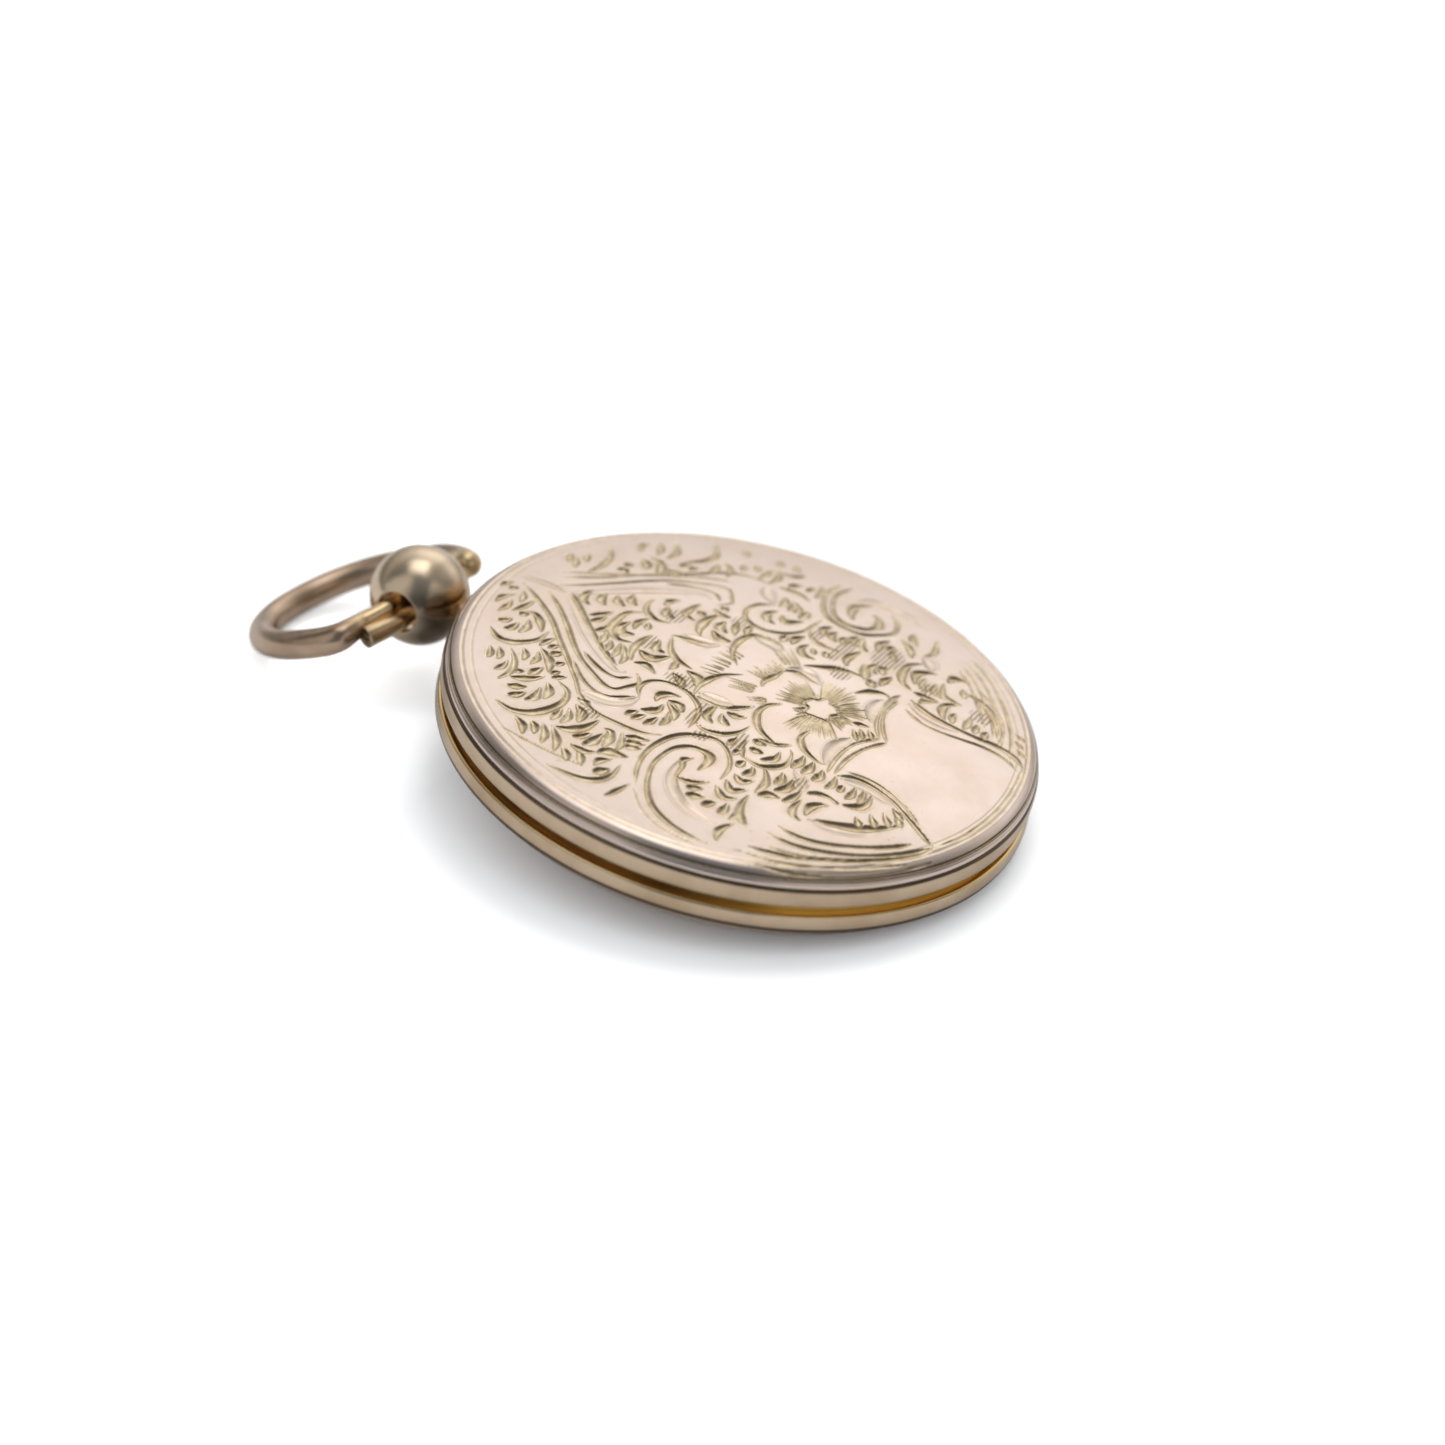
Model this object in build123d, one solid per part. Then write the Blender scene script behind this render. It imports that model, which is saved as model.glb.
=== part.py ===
"""Round locket: two domed halves on a side hinge, a ball pendant and a wire bow.

Units are millimetres. The closed locket lies on its back. +Z leaves the front face, +Y runs from
the middle towards the pendant and the bow, and +X points to the hinge. The origin is the middle of
the small flat on the back.

Most pieces of a half are drawn for the upper half, with the joint between the halves at z = 0, and
are then set in place as they are (front half) or turned over (back half).
"""
import os
from math import cos, radians, sin, sqrt

from build123d import *

# Body
BODY_DIAMETER = 34.0
HALF_THICKNESS = 3.4          # joint plane to the middle of either face
SEAM_GAP = 0.58               # open line between the two rims
RIM_HEIGHT = 1.12
RIM_BULGE = 0.07              # how much the band stands out at mid height
RIM_EDGE_ROUND = 0.14
GROOVE_STEP = 0.16            # the dome skirt stands in from the rim band by this much
SHEET = 0.35                  # plate of the two domes
SHOULDER_ROUND = 0.95
DOME_RISE = 1.12              # rise of the face from its edge to its middle
SKIRT_EDGE_ROUND = 0.12
BORDER_LINE_RADIUS = 15.2     # turned line round each face
BORDER_LINE_WIDTH = 0.3
BORDER_LINE_DEPTH = 0.06
BACK_STEP = 0.7               # the back plate stands in further from the rim band
BACK_DOME_RISE = 1.36
BACK_SHOULDER_ROUND = 0.5
REST_FLAT_RADIUS = 4.0        # flat in the middle of the back

# Closing edge
FLANGE_OUTER = 16.35
FLANGE_WALL = 0.35
FLANGE_RISE = 0.75            # above the joint plane, into the front half
FLANGE_SEAT = 1.2             # below the joint plane, in the back rim
FLANGE_CLEARANCE = 0.07
FLANGE_POCKET = 0.95          # depth of the wide bore in the front rim

# Inside each half
LEDGE_RADIUS = 15.5           # narrow bore of the rim, where the bezel snaps in
SPIGOT_HEIGHT = 0.19
LINING_RADIUS = 15.9
BACK_LINING_RADIUS = 15.7
LINING_SHEET = 0.2
CARD_THICKNESS = 0.15
GLAZING_THICKNESS = 0.3
PICTURE_RADIUS = 14.9
BEZEL_WINDOW = 13.6
BEZEL_LOW = 0.55              # bezel lip above the joint plane
BEZEL_LIP_ROUND = 0.2
FIT_GAP = 0.02                # film left between round pieces that are fixed together

# Hinge
HINGE_OFFSET = 0.3            # pin axis outside the rim band
KNUCKLE_RADIUS = 0.7
KNUCKLE_LENGTH = 1.9
KNUCKLE_GAP = 0.06
NOTCH_CLEARANCE = 0.08
PIN_RADIUS = 0.3
PIN_CLEARANCE = 0.03
PIN_HEAD_ROUND = 0.1

# Pendant
BALL_RADIUS = 2.95
BALL_WALL = 0.45
BALL_OFFSET = 3.8             # ball centre beyond the rim band
BALL_DROP = 1.19              # ball centre below the joint plane
EYE_RADIUS = 1.14             # cross hole in the ball
EYE_EDGE_ROUND = 0.08
STEM_RADIUS = 0.38
STEM_RISE = 0.28              # stem above the ball centre, so that it stays inside the rim band
NECK_RADIUS = 0.95
NECK_WAIST_RADIUS = 0.7

# Bow, drawn in its own plane through the ball centre: across (to the hinge side), away from the
# body, and up from the plane
BOW_DROOP = 32.0              # degrees below the face plane, as it hangs to the back
BOW_RADIUS = 6.29             # centre line
BOW_WIRE = 0.87               # radius of the full wire
BOW_END_WIRE = 0.52            # radius of the drawn-down ends
BOW_CENTRE = (0.14, 3.97)     # from the ball centre, across and away
BOW_BEND_SWELL = 0.02         # the wire is a little thicker where it is bent over
ARC_START = -45.0             # degrees round the bow from the hinge side
ARC_END = 198.0
ELBOW_RADIUS = 0.74           # knuckled end of the full wire, from which the straight run starts
ELBOW = (4.4, -0.68, -0.28)
RUN_EXIT = (-2.65, 0.04, -0.56)       # where the straight run leaves the ball
TAIL_END = (-4.9, 0.9, -0.62)         # snipped end, laid against the ring
HOOK_START = (-4.1, 1.32, 0.26)
HOOK_ENTRY = (-2.65, 0.46, 0.36)      # where the other end goes into the ball
HOOK_END = (-0.8, 0.4, 0.44)

# Worked out from the dimensions above
BODY_RADIUS = BODY_DIAMETER / 2
JOINT_Z = HALF_THICKNESS
RIM_LOW = SEAM_GAP / 2
RIM_HIGH = RIM_LOW + RIM_HEIGHT
SKIRT_RADIUS = BODY_RADIUS - GROOVE_STEP
SPHERE_RADIUS = (SKIRT_RADIUS**2 + DOME_RISE**2) / (2 * DOME_RISE)
BACK_SKIRT_RADIUS = BODY_RADIUS - BACK_STEP
BACK_SPHERE_RADIUS = (BACK_SKIRT_RADIUS**2 + BACK_DOME_RISE**2) / (2 * BACK_DOME_RISE)
REST_SAG = BACK_SPHERE_RADIUS - sqrt(BACK_SPHERE_RADIUS**2 - REST_FLAT_RADIUS**2)
SPIGOT_TOP = RIM_HIGH + SPIGOT_HEIGHT
CARD_LOW = SPIGOT_TOP - CARD_THICKNESS
GLAZING_LOW = CARD_LOW - GLAZING_THICKNESS
HINGE_X = BODY_RADIUS + HINGE_OFFSET
KNUCKLE_PITCH = KNUCKLE_LENGTH + KNUCKLE_GAP
HINGE_LENGTH = 3 * KNUCKLE_LENGTH + 2 * KNUCKLE_GAP
BALL_CENTRE = Vector(0, BODY_RADIUS + BALL_OFFSET, JOINT_Z - BALL_DROP)


def front(shape):
    """Set an upper-half piece in the front half."""
    return shape.moved(Location((0, 0, JOINT_Z)))


def back(shape):
    """Turn an upper-half piece over into the back half."""
    return mirror(shape, about=Plane.XY).moved(Location((0, 0, JOINT_Z)))


def turned(face):
    """Revolve a section drawn in the XZ plane about the body axis."""
    return revolve(face, axis=Axis.Z, revolution_arc=360)


def ring(inner, outer, low, high):
    """A plain ring, or a disc when inner is zero."""
    body = Cylinder(outer, high - low, align=(Align.CENTER, Align.CENTER, Align.MIN))
    if inner > 0:
        body -= Cylinder(inner, high - low, align=(Align.CENTER, Align.CENTER, Align.MIN))
    return body.moved(Location((0, 0, low)))


def sphere_drop(sphere_radius, radius):
    """How far a shallow sphere has fallen from its crown at a given radius."""
    return sphere_radius - sqrt(sphere_radius**2 - radius**2)


def domed_block(radius, low, crown, sphere_radius, shoulder):
    """A solid bounded by a cylinder, a shallow spherical top and a rounded shoulder."""
    edge = crown - sphere_drop(sphere_radius, radius)
    halfway = crown - sphere_drop(sphere_radius, radius / 2)
    with BuildSketch(Plane.XZ) as section:
        with BuildLine():
            Line((0, low), (radius, low))
            Line((radius, low), (radius, edge))
            ThreePointArc((radius, edge), (radius / 2, halfway), (0, crown))
            Line((0, crown), (0, low))
        make_face()
        rim_points = [v for v in section.vertices() if abs(v.X - radius) < 1e-6]
        fillet([v for v in rim_points if abs(v.Z - edge) < 1e-6], shoulder)
    return turned(section.sketch)


def dome(crown, skirt, sphere_radius, shoulder):
    """Stamped face plate with its skirt, shoulder and turned border line."""
    outer = domed_block(skirt, RIM_HIGH, crown, sphere_radius, shoulder)
    inner = domed_block(skirt - SHEET, RIM_HIGH - 1, crown - SHEET, sphere_radius - SHEET, shoulder - SHEET)
    shell = outer - inner
    low_edges = [e for e in shell.edges().filter_by(GeomType.CIRCLE) if abs(e.center().Z - RIM_HIGH) < 1e-6]
    shell = fillet([e for e in low_edges if e.radius > skirt - SHEET / 2], SKIRT_EDGE_ROUND)
    line_height = crown - sphere_drop(sphere_radius, BORDER_LINE_RADIUS)
    tool = Torus(BORDER_LINE_RADIUS, BORDER_LINE_WIDTH)
    return shell - tool.moved(Location((0, 0, line_height + BORDER_LINE_WIDTH - BORDER_LINE_DEPTH)))


def rim(bore_radius, bore_depth, skirt):
    """Rim band with a wide bore at the joint, a ledge for the bezel and a spigot for the dome."""
    edge_radius = BODY_RADIUS - RIM_BULGE
    spigot = skirt - SHEET - FIT_GAP
    middle = (RIM_LOW + RIM_HIGH) / 2
    with BuildSketch(Plane.XZ) as section:
        with BuildLine():
            Line((bore_radius, RIM_LOW), (edge_radius, RIM_LOW))
            ThreePointArc((edge_radius, RIM_LOW), (BODY_RADIUS, middle), (edge_radius, RIM_HIGH))
            Polyline(
                (edge_radius, RIM_HIGH),
                (spigot, RIM_HIGH),
                (spigot, SPIGOT_TOP),
                (LEDGE_RADIUS, SPIGOT_TOP),
                (LEDGE_RADIUS, bore_depth),
                (bore_radius, bore_depth),
                (bore_radius, RIM_LOW),
            )
        make_face()
        corners = [v for v in section.vertices() if abs(v.X - edge_radius) < 1e-6]
        fillet(corners, RIM_EDGE_ROUND)
    return turned(section.sketch)


def lining(radius):
    """Inner plate that closes the hollow behind the dome."""
    return ring(0, radius, SPIGOT_TOP, SPIGOT_TOP + LINING_SHEET)


def picture_card():
    return ring(0, PICTURE_RADIUS, CARD_LOW, SPIGOT_TOP)


def glazing():
    return ring(0, PICTURE_RADIUS, GLAZING_LOW, CARD_LOW)


def bezel():
    """Snap-in ring that holds the glazing and the picture card."""
    outer = LEDGE_RADIUS - FIT_GAP
    seat = PICTURE_RADIUS + FIT_GAP
    with BuildSketch(Plane.XZ) as section:
        with BuildLine():
            Polyline(
                (BEZEL_WINDOW, BEZEL_LOW),
                (outer, BEZEL_LOW),
                (outer, SPIGOT_TOP),
                (seat, SPIGOT_TOP),
                (seat, GLAZING_LOW),
                (BEZEL_WINDOW, GLAZING_LOW),
                (BEZEL_WINDOW, BEZEL_LOW),
            )
        make_face()
        lip = [v for v in section.vertices() if abs(v.Z - BEZEL_LOW) < 1e-6]
        fillet(lip, BEZEL_LIP_ROUND)
    return turned(section.sketch)


def closing_flange():
    """Ring fixed in the back rim that the front rim closes over."""
    band = ring(FLANGE_OUTER - FLANGE_WALL, FLANGE_OUTER, -FLANGE_SEAT, FLANGE_RISE)
    top = [e for e in band.edges().filter_by(GeomType.CIRCLE) if abs(e.center().Z - FLANGE_RISE) < 1e-6]
    return front(fillet(top, FLANGE_WALL / 3))


def along_y(radius, length, y, x, z):
    """A rod along Y, centred at the given point."""
    return Cylinder(radius, length, rotation=(90, 0, 0)).moved(Location((x, y, z)))


def hinge_rod(radius, length, y=0.0):
    return along_y(radius, length, y, HINGE_X, JOINT_Z)


def knuckle(y, bore):
    return hinge_rod(KNUCKLE_RADIUS, KNUCKLE_LENGTH, y) - hinge_rod(bore, KNUCKLE_LENGTH, y)


def hinge_pin():
    """Pin riveted flush in the two back knuckles."""
    return hinge_rod(PIN_RADIUS, HINGE_LENGTH)


def hinge_notch(own_places):
    """Room for all three knuckles, tight round the ones that are fixed to this rim."""
    notch = hinge_rod(KNUCKLE_RADIUS + NOTCH_CLEARANCE, HINGE_LENGTH + 2 * NOTCH_CLEARANCE)
    for y in own_places:
        collar = hinge_rod(KNUCKLE_RADIUS + 2 * NOTCH_CLEARANCE, KNUCKLE_LENGTH, y)
        notch -= collar - hinge_rod(KNUCKLE_RADIUS, KNUCKLE_LENGTH, y)
    return notch


def front_rim():
    body = front(rim(FLANGE_OUTER + FLANGE_CLEARANCE, FLANGE_POCKET, SKIRT_RADIUS))
    return body - hinge_notch([0.0])


def back_rim():
    body = back(rim(FLANGE_OUTER, FLANGE_SEAT, BACK_SKIRT_RADIUS))
    body -= hinge_notch([-KNUCKLE_PITCH, KNUCKLE_PITCH])
    return body - stem_rod()


def back_dome():
    """Back face plate, levelled in the middle so that the locket lies steady."""
    crown = HALF_THICKNESS + REST_SAG
    plate = back(dome(crown, BACK_SKIRT_RADIUS, BACK_SPHERE_RADIUS, BACK_SHOULDER_ROUND))
    return plate - Box(BODY_DIAMETER, BODY_DIAMETER, 2, align=(Align.CENTER, Align.CENTER, Align.MAX))


def stem_rod():
    """Rod from the bore of the back rim into the wall of the ball."""
    start = FLANGE_OUTER + FIT_GAP
    end = BALL_CENTRE.Y - BALL_RADIUS + BALL_WALL
    return along_y(STEM_RADIUS, end - start, (start + end) / 2, 0, BALL_CENTRE.Z + STEM_RISE)


def pendant_neck():
    """Waisted collar between the rim band and the ball, hollowed to sit on both."""
    start = BODY_RADIUS - 4 * RIM_BULGE
    end = BALL_CENTRE.Y - BALL_RADIUS + NECK_RADIUS**2 / BALL_RADIUS
    middle = (BODY_RADIUS + BALL_CENTRE.Y - BALL_RADIUS) / 2
    with BuildSketch(Plane.XY) as section:
        with BuildLine():
            Line((0, start), (NECK_RADIUS, start))
            ThreePointArc((NECK_RADIUS, start), (NECK_WAIST_RADIUS, middle), (NECK_RADIUS, end))
            Line((NECK_RADIUS, end), (0, end))
            Line((0, end), (0, start))
        make_face()
    collar = revolve(section.sketch, axis=Axis.Y).moved(Location((0, 0, BALL_CENTRE.Z)))
    collar -= Sphere(BALL_RADIUS).moved(Location(BALL_CENTRE))
    collar -= Cylinder(BODY_RADIUS, 4 * HALF_THICKNESS)
    return collar - stem_rod()


def pendant_ball():
    """Hollow ball with a cross hole for the bow."""
    eye = Cylinder(EYE_RADIUS, 3 * BALL_RADIUS, rotation=(0, 90, 0))
    ball = Sphere(BALL_RADIUS) - Sphere(BALL_RADIUS - BALL_WALL) - eye
    mouth = [e for e in ball.edges() if abs(e.center().X) > sqrt(BALL_RADIUS**2 - EYE_RADIUS**2) - 0.01]
    ball = fillet(mouth, EYE_EDGE_ROUND)
    return ball.moved(Location(BALL_CENTRE)) - stem_rod()


def bow_plane():
    """Plane of the bow at rest: its x runs to the hinge side, its y away from the body."""
    droop = radians(BOW_DROOP)
    normal = (0, sin(droop), cos(droop))
    return Plane(origin=BALL_CENTRE, x_dir=(1, 0, 0), z_dir=normal)


def straight_wire(start, end, start_radius, end_radius):
    """Straight length of wire between two points, with a rounded bend at its start."""
    path = Line(start, end).edge()
    first = Plane(origin=path @ 0, z_dir=path % 0) * Circle(start_radius)
    last = Plane(origin=path @ 1, z_dir=path % 1) * Circle(end_radius)
    bend = Sphere(start_radius + BOW_BEND_SWELL).moved(Location(start))
    return loft([first, last]) + bend


def on_bow(angle):
    """Point of the bow's centre line at an angle round from the hinge side."""
    across = BOW_CENTRE[0] + BOW_RADIUS * cos(radians(angle))
    away = BOW_CENTRE[1] + BOW_RADIUS * sin(radians(angle))
    return (across, away, 0)


def bow_ring():
    """One length of wire: a ring whose two ends turn inwards and lie side by side through the ball."""
    path = CenterArc(BOW_CENTRE, BOW_RADIUS, ARC_START, ARC_END - ARC_START).edge()
    main = sweep(Plane(origin=path @ 0, z_dir=path % 0) * Circle(BOW_WIRE), path=path)
    turn = Sphere(BOW_WIRE + BOW_BEND_SWELL).moved(Location(on_bow(ARC_START)))
    turn += Sphere(ELBOW_RADIUS).moved(Location(ELBOW))
    run = straight_wire(ELBOW, RUN_EXIT, BOW_END_WIRE, BOW_END_WIRE)
    tail = straight_wire(RUN_EXIT, TAIL_END, BOW_END_WIRE, BOW_END_WIRE)
    hook = straight_wire(on_bow(ARC_END), HOOK_START, BOW_WIRE, BOW_END_WIRE)
    hook += straight_wire(HOOK_START, HOOK_ENTRY, BOW_END_WIRE, BOW_END_WIRE)
    hook += straight_wire(HOOK_ENTRY, HOOK_END, BOW_END_WIRE, BOW_END_WIRE)
    whole = main + turn + run + tail + hook
    return bow_plane().location * whole


def save(name, shape):
    export_step(shape, f"parts/{name}.step")


os.makedirs("parts", exist_ok=True)

save("front_dome", front(dome(HALF_THICKNESS, SKIRT_RADIUS, SPHERE_RADIUS, SHOULDER_ROUND)))
save("front_rim", front_rim())
save("front_lining", front(lining(LINING_RADIUS)))
save("front_picture_card", front(picture_card()))
save("front_glazing", front(glazing()))
save("front_bezel", front(bezel()))
save("front_hinge_knuckle", knuckle(0.0, PIN_RADIUS + PIN_CLEARANCE))

save("back_dome", back_dome())
save("back_rim", back_rim())
save("closing_flange", closing_flange())
save("back_lining", back(lining(BACK_LINING_RADIUS)))
save("back_picture_card", back(picture_card()))
save("back_glazing", back(glazing()))
save("back_bezel", back(bezel()))
save("back_hinge_knuckle_top", knuckle(KNUCKLE_PITCH, PIN_RADIUS))
save("back_hinge_knuckle_bottom", knuckle(-KNUCKLE_PITCH, PIN_RADIUS))
save("hinge_pin", hinge_pin())
save("pendant_neck", pendant_neck())
save("pendant_stem", stem_rod())
save("pendant_ball", pendant_ball())

save("bow_ring", bow_ring())
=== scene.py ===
"""Looks of the locket: engraved front, turned bands, ball, bent wire bow, studio and camera. Metres.

The engraving is cut into the front plate as real geometry. Its cuts are written in millimetres on the
face: x towards the hinge, y towards the bow, as seen from the front with the bow at the top.
"""

import math
from collections import namedtuple

import bpy
import numpy as np
from mathutils import Matrix, Vector


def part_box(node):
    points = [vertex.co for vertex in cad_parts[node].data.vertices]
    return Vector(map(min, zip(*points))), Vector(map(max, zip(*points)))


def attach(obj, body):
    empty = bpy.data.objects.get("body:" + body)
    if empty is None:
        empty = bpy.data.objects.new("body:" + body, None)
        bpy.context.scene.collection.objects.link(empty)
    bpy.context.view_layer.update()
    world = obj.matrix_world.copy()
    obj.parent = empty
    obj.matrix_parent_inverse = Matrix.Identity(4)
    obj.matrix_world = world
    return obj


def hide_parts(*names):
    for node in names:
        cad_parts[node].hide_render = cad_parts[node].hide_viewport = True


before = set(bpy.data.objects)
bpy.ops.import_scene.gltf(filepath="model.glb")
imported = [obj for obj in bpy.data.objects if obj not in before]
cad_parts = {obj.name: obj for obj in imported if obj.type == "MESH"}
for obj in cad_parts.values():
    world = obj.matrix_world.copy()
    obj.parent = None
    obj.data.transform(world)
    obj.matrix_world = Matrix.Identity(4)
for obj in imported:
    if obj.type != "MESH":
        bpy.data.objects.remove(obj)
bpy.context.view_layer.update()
MM = 0.001
rng = np.random.default_rng(7)

# Sizes read from the frame
RIM_LOW_CORNER, RIM_HIGH_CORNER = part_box("front_rim")
DOME_LOW_CORNER, DOME_HIGH_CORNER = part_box("front_dome")
BACK_RIM_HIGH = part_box("back_rim")[1]
BACK_DOME_LOW, BACK_DOME_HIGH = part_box("back_dome")
FLANGE_LOW, FLANGE_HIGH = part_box("closing_flange")
BALL_LOW, BALL_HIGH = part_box("pendant_ball")
NECK_LOW, NECK_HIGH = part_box("pendant_neck")
BOW_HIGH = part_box("bow_ring")[1]
KNUCKLE_LOW, KNUCKLE_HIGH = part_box("front_hinge_knuckle")
HINGE_START, HINGE_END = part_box("hinge_pin")

BODY_RADIUS = RIM_HIGH_CORNER.x
SKIRT_RADIUS = DOME_HIGH_CORNER.x
CROWN = DOME_HIGH_CORNER.z
JOINT_Z = (RIM_LOW_CORNER.z + BACK_RIM_HIGH.z) / 2
SEAM_HALF = RIM_LOW_CORNER.z - JOINT_Z
RIM_TOP = DOME_LOW_CORNER.z
SHEET = 0.35 * MM
FIT_GAP = 0.02 * MM
RIM_BULGE = 0.07 * MM
SPIGOT_HEIGHT = 0.19 * MM
LEDGE_RADIUS = 15.5 * MM
FLANGE_CLEARANCE = 0.07 * MM
FRONT_POCKET = 0.95 * MM
BACK_POCKET = 1.2 * MM
BALL_RADIUS = (BALL_HIGH.z - BALL_LOW.z) / 2
BALL_CENTRE = (BALL_LOW + BALL_HIGH) / 2
EYE_RADIUS = math.sqrt(BALL_RADIUS**2 - BALL_HIGH.x**2)
HINGE_X = (KNUCKLE_LOW.x + KNUCKLE_HIGH.x) / 2
KNUCKLE_RADIUS = (KNUCKLE_HIGH.x - KNUCKLE_LOW.x) / 2
NOTCH_CLEARANCE = 0.08 * MM
NOTCH_RADIUS = KNUCKLE_RADIUS + NOTCH_CLEARANCE
NOTCH_HALF = (HINGE_END.y - HINGE_START.y) / 2 + NOTCH_CLEARANCE

# The two domed plates, both described as if facing up: a shallow sphere, a shoulder and a skirt
Plate = namedtuple("Plate", "skirt sphere shoulder crown edge")


def sphere_of(radius, rise):
    """Radius of the sphere that rises by so much over a circle of this radius."""
    return (radius**2 + rise**2) / (2 * rise)


REST_FLAT = 4 * MM
FRONT = Plate(SKIRT_RADIUS, sphere_of(SKIRT_RADIUS, 1.12 * MM), 0.95 * MM, CROWN, RIM_TOP)
BACK_SKIRT = BACK_DOME_HIGH.x
BACK_SPHERE = sphere_of(BACK_SKIRT, 1.36 * MM)
BACK_SAG = BACK_SPHERE - math.sqrt(BACK_SPHERE**2 - REST_FLAT**2)
BACK_CROWN = 2 * JOINT_Z - BACK_DOME_LOW.z + BACK_SAG
BACK_EDGE = 2 * JOINT_Z - BACK_DOME_HIGH.z
BACK = Plate(BACK_SKIRT, BACK_SPHERE, 0.5 * MM, BACK_CROWN, BACK_EDGE)

# The bow in its own plane through the ball centre, in millimetres: across (to the hinge side), away
# from the body, up from the plane, and radius of the wire
BOW_DROOP = math.radians(32)
BOW_RING_RADIUS = 6.29
BOW_CENTRE = (0.14, 3.97)
BOW_WIRE = BOW_HIGH.x / MM - BOW_RING_RADIUS - BOW_CENTRE[0]
BOW_END = 0.52
ELBOW = (4.4, -0.68, -0.28)


# ---------------------------------------------------------------- meshes

def mesh_object(name, points, faces, material, body, replaced):
    """A smooth-shaded mesh that rides on a CAD body in place of a CAD node."""
    mesh = bpy.data.meshes.new(name)
    mesh.from_pydata([], [], [])
    points = np.asarray(points, np.float32)
    faces = np.asarray(faces, np.int32)
    corners = faces.shape[1]
    mesh.vertices.add(len(points))
    mesh.vertices.foreach_set("co", points.ravel())
    mesh.loops.add(faces.size)
    mesh.loops.foreach_set("vertex_index", faces.ravel())
    mesh.polygons.add(len(faces))
    mesh.polygons.foreach_set("loop_start", np.arange(0, faces.size, corners, dtype=np.int32))
    mesh.polygons.foreach_set("use_smooth", np.ones(len(faces), bool))
    mesh.update(calc_edges=True)
    mesh.validate()
    mesh.materials.append(material)
    obj = bpy.data.objects.new(name, mesh)
    bpy.context.scene.collection.objects.link(obj)
    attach(obj, body)
    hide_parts(replaced)
    return obj


def grid_faces(rows, columns, close_rows):
    """Quads of a grid whose columns always close on themselves."""
    last = rows if close_rows else rows - 1
    r = np.arange(last)[:, None]
    c = np.arange(columns)[None, :]
    below = ((r + 1) % rows) * columns
    ahead = (c + 1) % columns
    here = r * columns
    quads = [here + c, here + ahead, below + ahead, below + c]
    return np.stack([np.broadcast_to(q, (last, columns)) for q in quads], -1).reshape(-1, 4)


def fan(tip, row, segments, forward):
    """Quads that close a row of points round one tip point, two steps of the row to a quad."""
    c = np.arange(0, segments, 2)
    corners = [np.full(len(c), tip), row + c, row + (c + 1) % segments, row + (c + 2) % segments]
    quads = np.stack(corners, -1)
    return quads if forward else quads[:, [0, 3, 2, 1]]


def turned_points(profile, segments):
    """Points of a (radius, height) profile turned about the body axis, row by row."""
    angle = np.arange(segments) * (2 * math.pi / segments)
    radius = profile[:, 0][:, None]
    height = np.broadcast_to(profile[:, 1][:, None], (len(profile), segments))
    return np.stack([radius * np.cos(angle), radius * np.sin(angle), height], -1).reshape(-1, 3)


def arc(centre, radius, start, end, count):
    """Points on an arc in the (radius, height) plane, angles in degrees."""
    angle = np.radians(np.linspace(start, end, count))
    return np.stack([centre[0] + radius * np.cos(angle), centre[1] + radius * np.sin(angle)], -1)


def rounded(corners, radii, steps=5):
    """A closed outline with each corner eased by its own radius."""
    corners = [np.array(c, float) for c in corners]
    outline = []
    for i, corner in enumerate(corners):
        before = corners[i - 1] - corner
        after = corners[(i + 1) % len(corners)] - corner
        reach = min(radii[i], np.linalg.norm(before) * 0.45, np.linalg.norm(after) * 0.45)
        a = corner + before / np.linalg.norm(before) * reach
        b = corner + after / np.linalg.norm(after) * reach
        for t in np.linspace(0, 1, steps if reach > 0 else 1):
            outline.append((1 - t) ** 2 * a + 2 * t * (1 - t) * corner + t**2 * b)
    return np.array(outline)


def subdivided(outline, step):
    """The same closed outline with no edge longer than step."""
    points = []
    for a, b in zip(outline, np.roll(outline, -1, axis=0)):
        count = max(1, int(np.ceil(np.linalg.norm(b - a) / step)))
        points.extend(a + (b - a) * k / count for k in range(count))
    return np.array(points)


def open_notch(points):
    """Pushes points out of the hinge's room, so that the band leaves space for the knuckles."""
    dx = points[:, 0] - HINGE_X
    dz = points[:, 2] - JOINT_Z
    distance = np.hypot(dx, dz)
    inside = (distance < NOTCH_RADIUS) & (np.abs(points[:, 1]) < NOTCH_HALF)
    scale = NOTCH_RADIUS / np.maximum(distance[inside], 1e-9)
    points[inside, 0] = HINGE_X + dx[inside] * scale
    points[inside, 2] = JOINT_Z + dz[inside] * scale
    return points


def ripple(points, height, waves, seed):
    """Slow unevenness of hand-worked metal, as a displacement for each point."""
    local = np.random.default_rng(seed)
    total = np.zeros(len(points))
    for _ in range(waves):
        direction = local.normal(size=3)
        direction /= np.linalg.norm(direction)
        length = local.uniform(2.5, 9) * MM
        phase = local.uniform(0, 2 * math.pi)
        total += np.sin(points @ direction * (2 * math.pi / length) + phase)
    return total * height / math.sqrt(waves)


# ---------------------------------------------------------------- engraving

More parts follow.
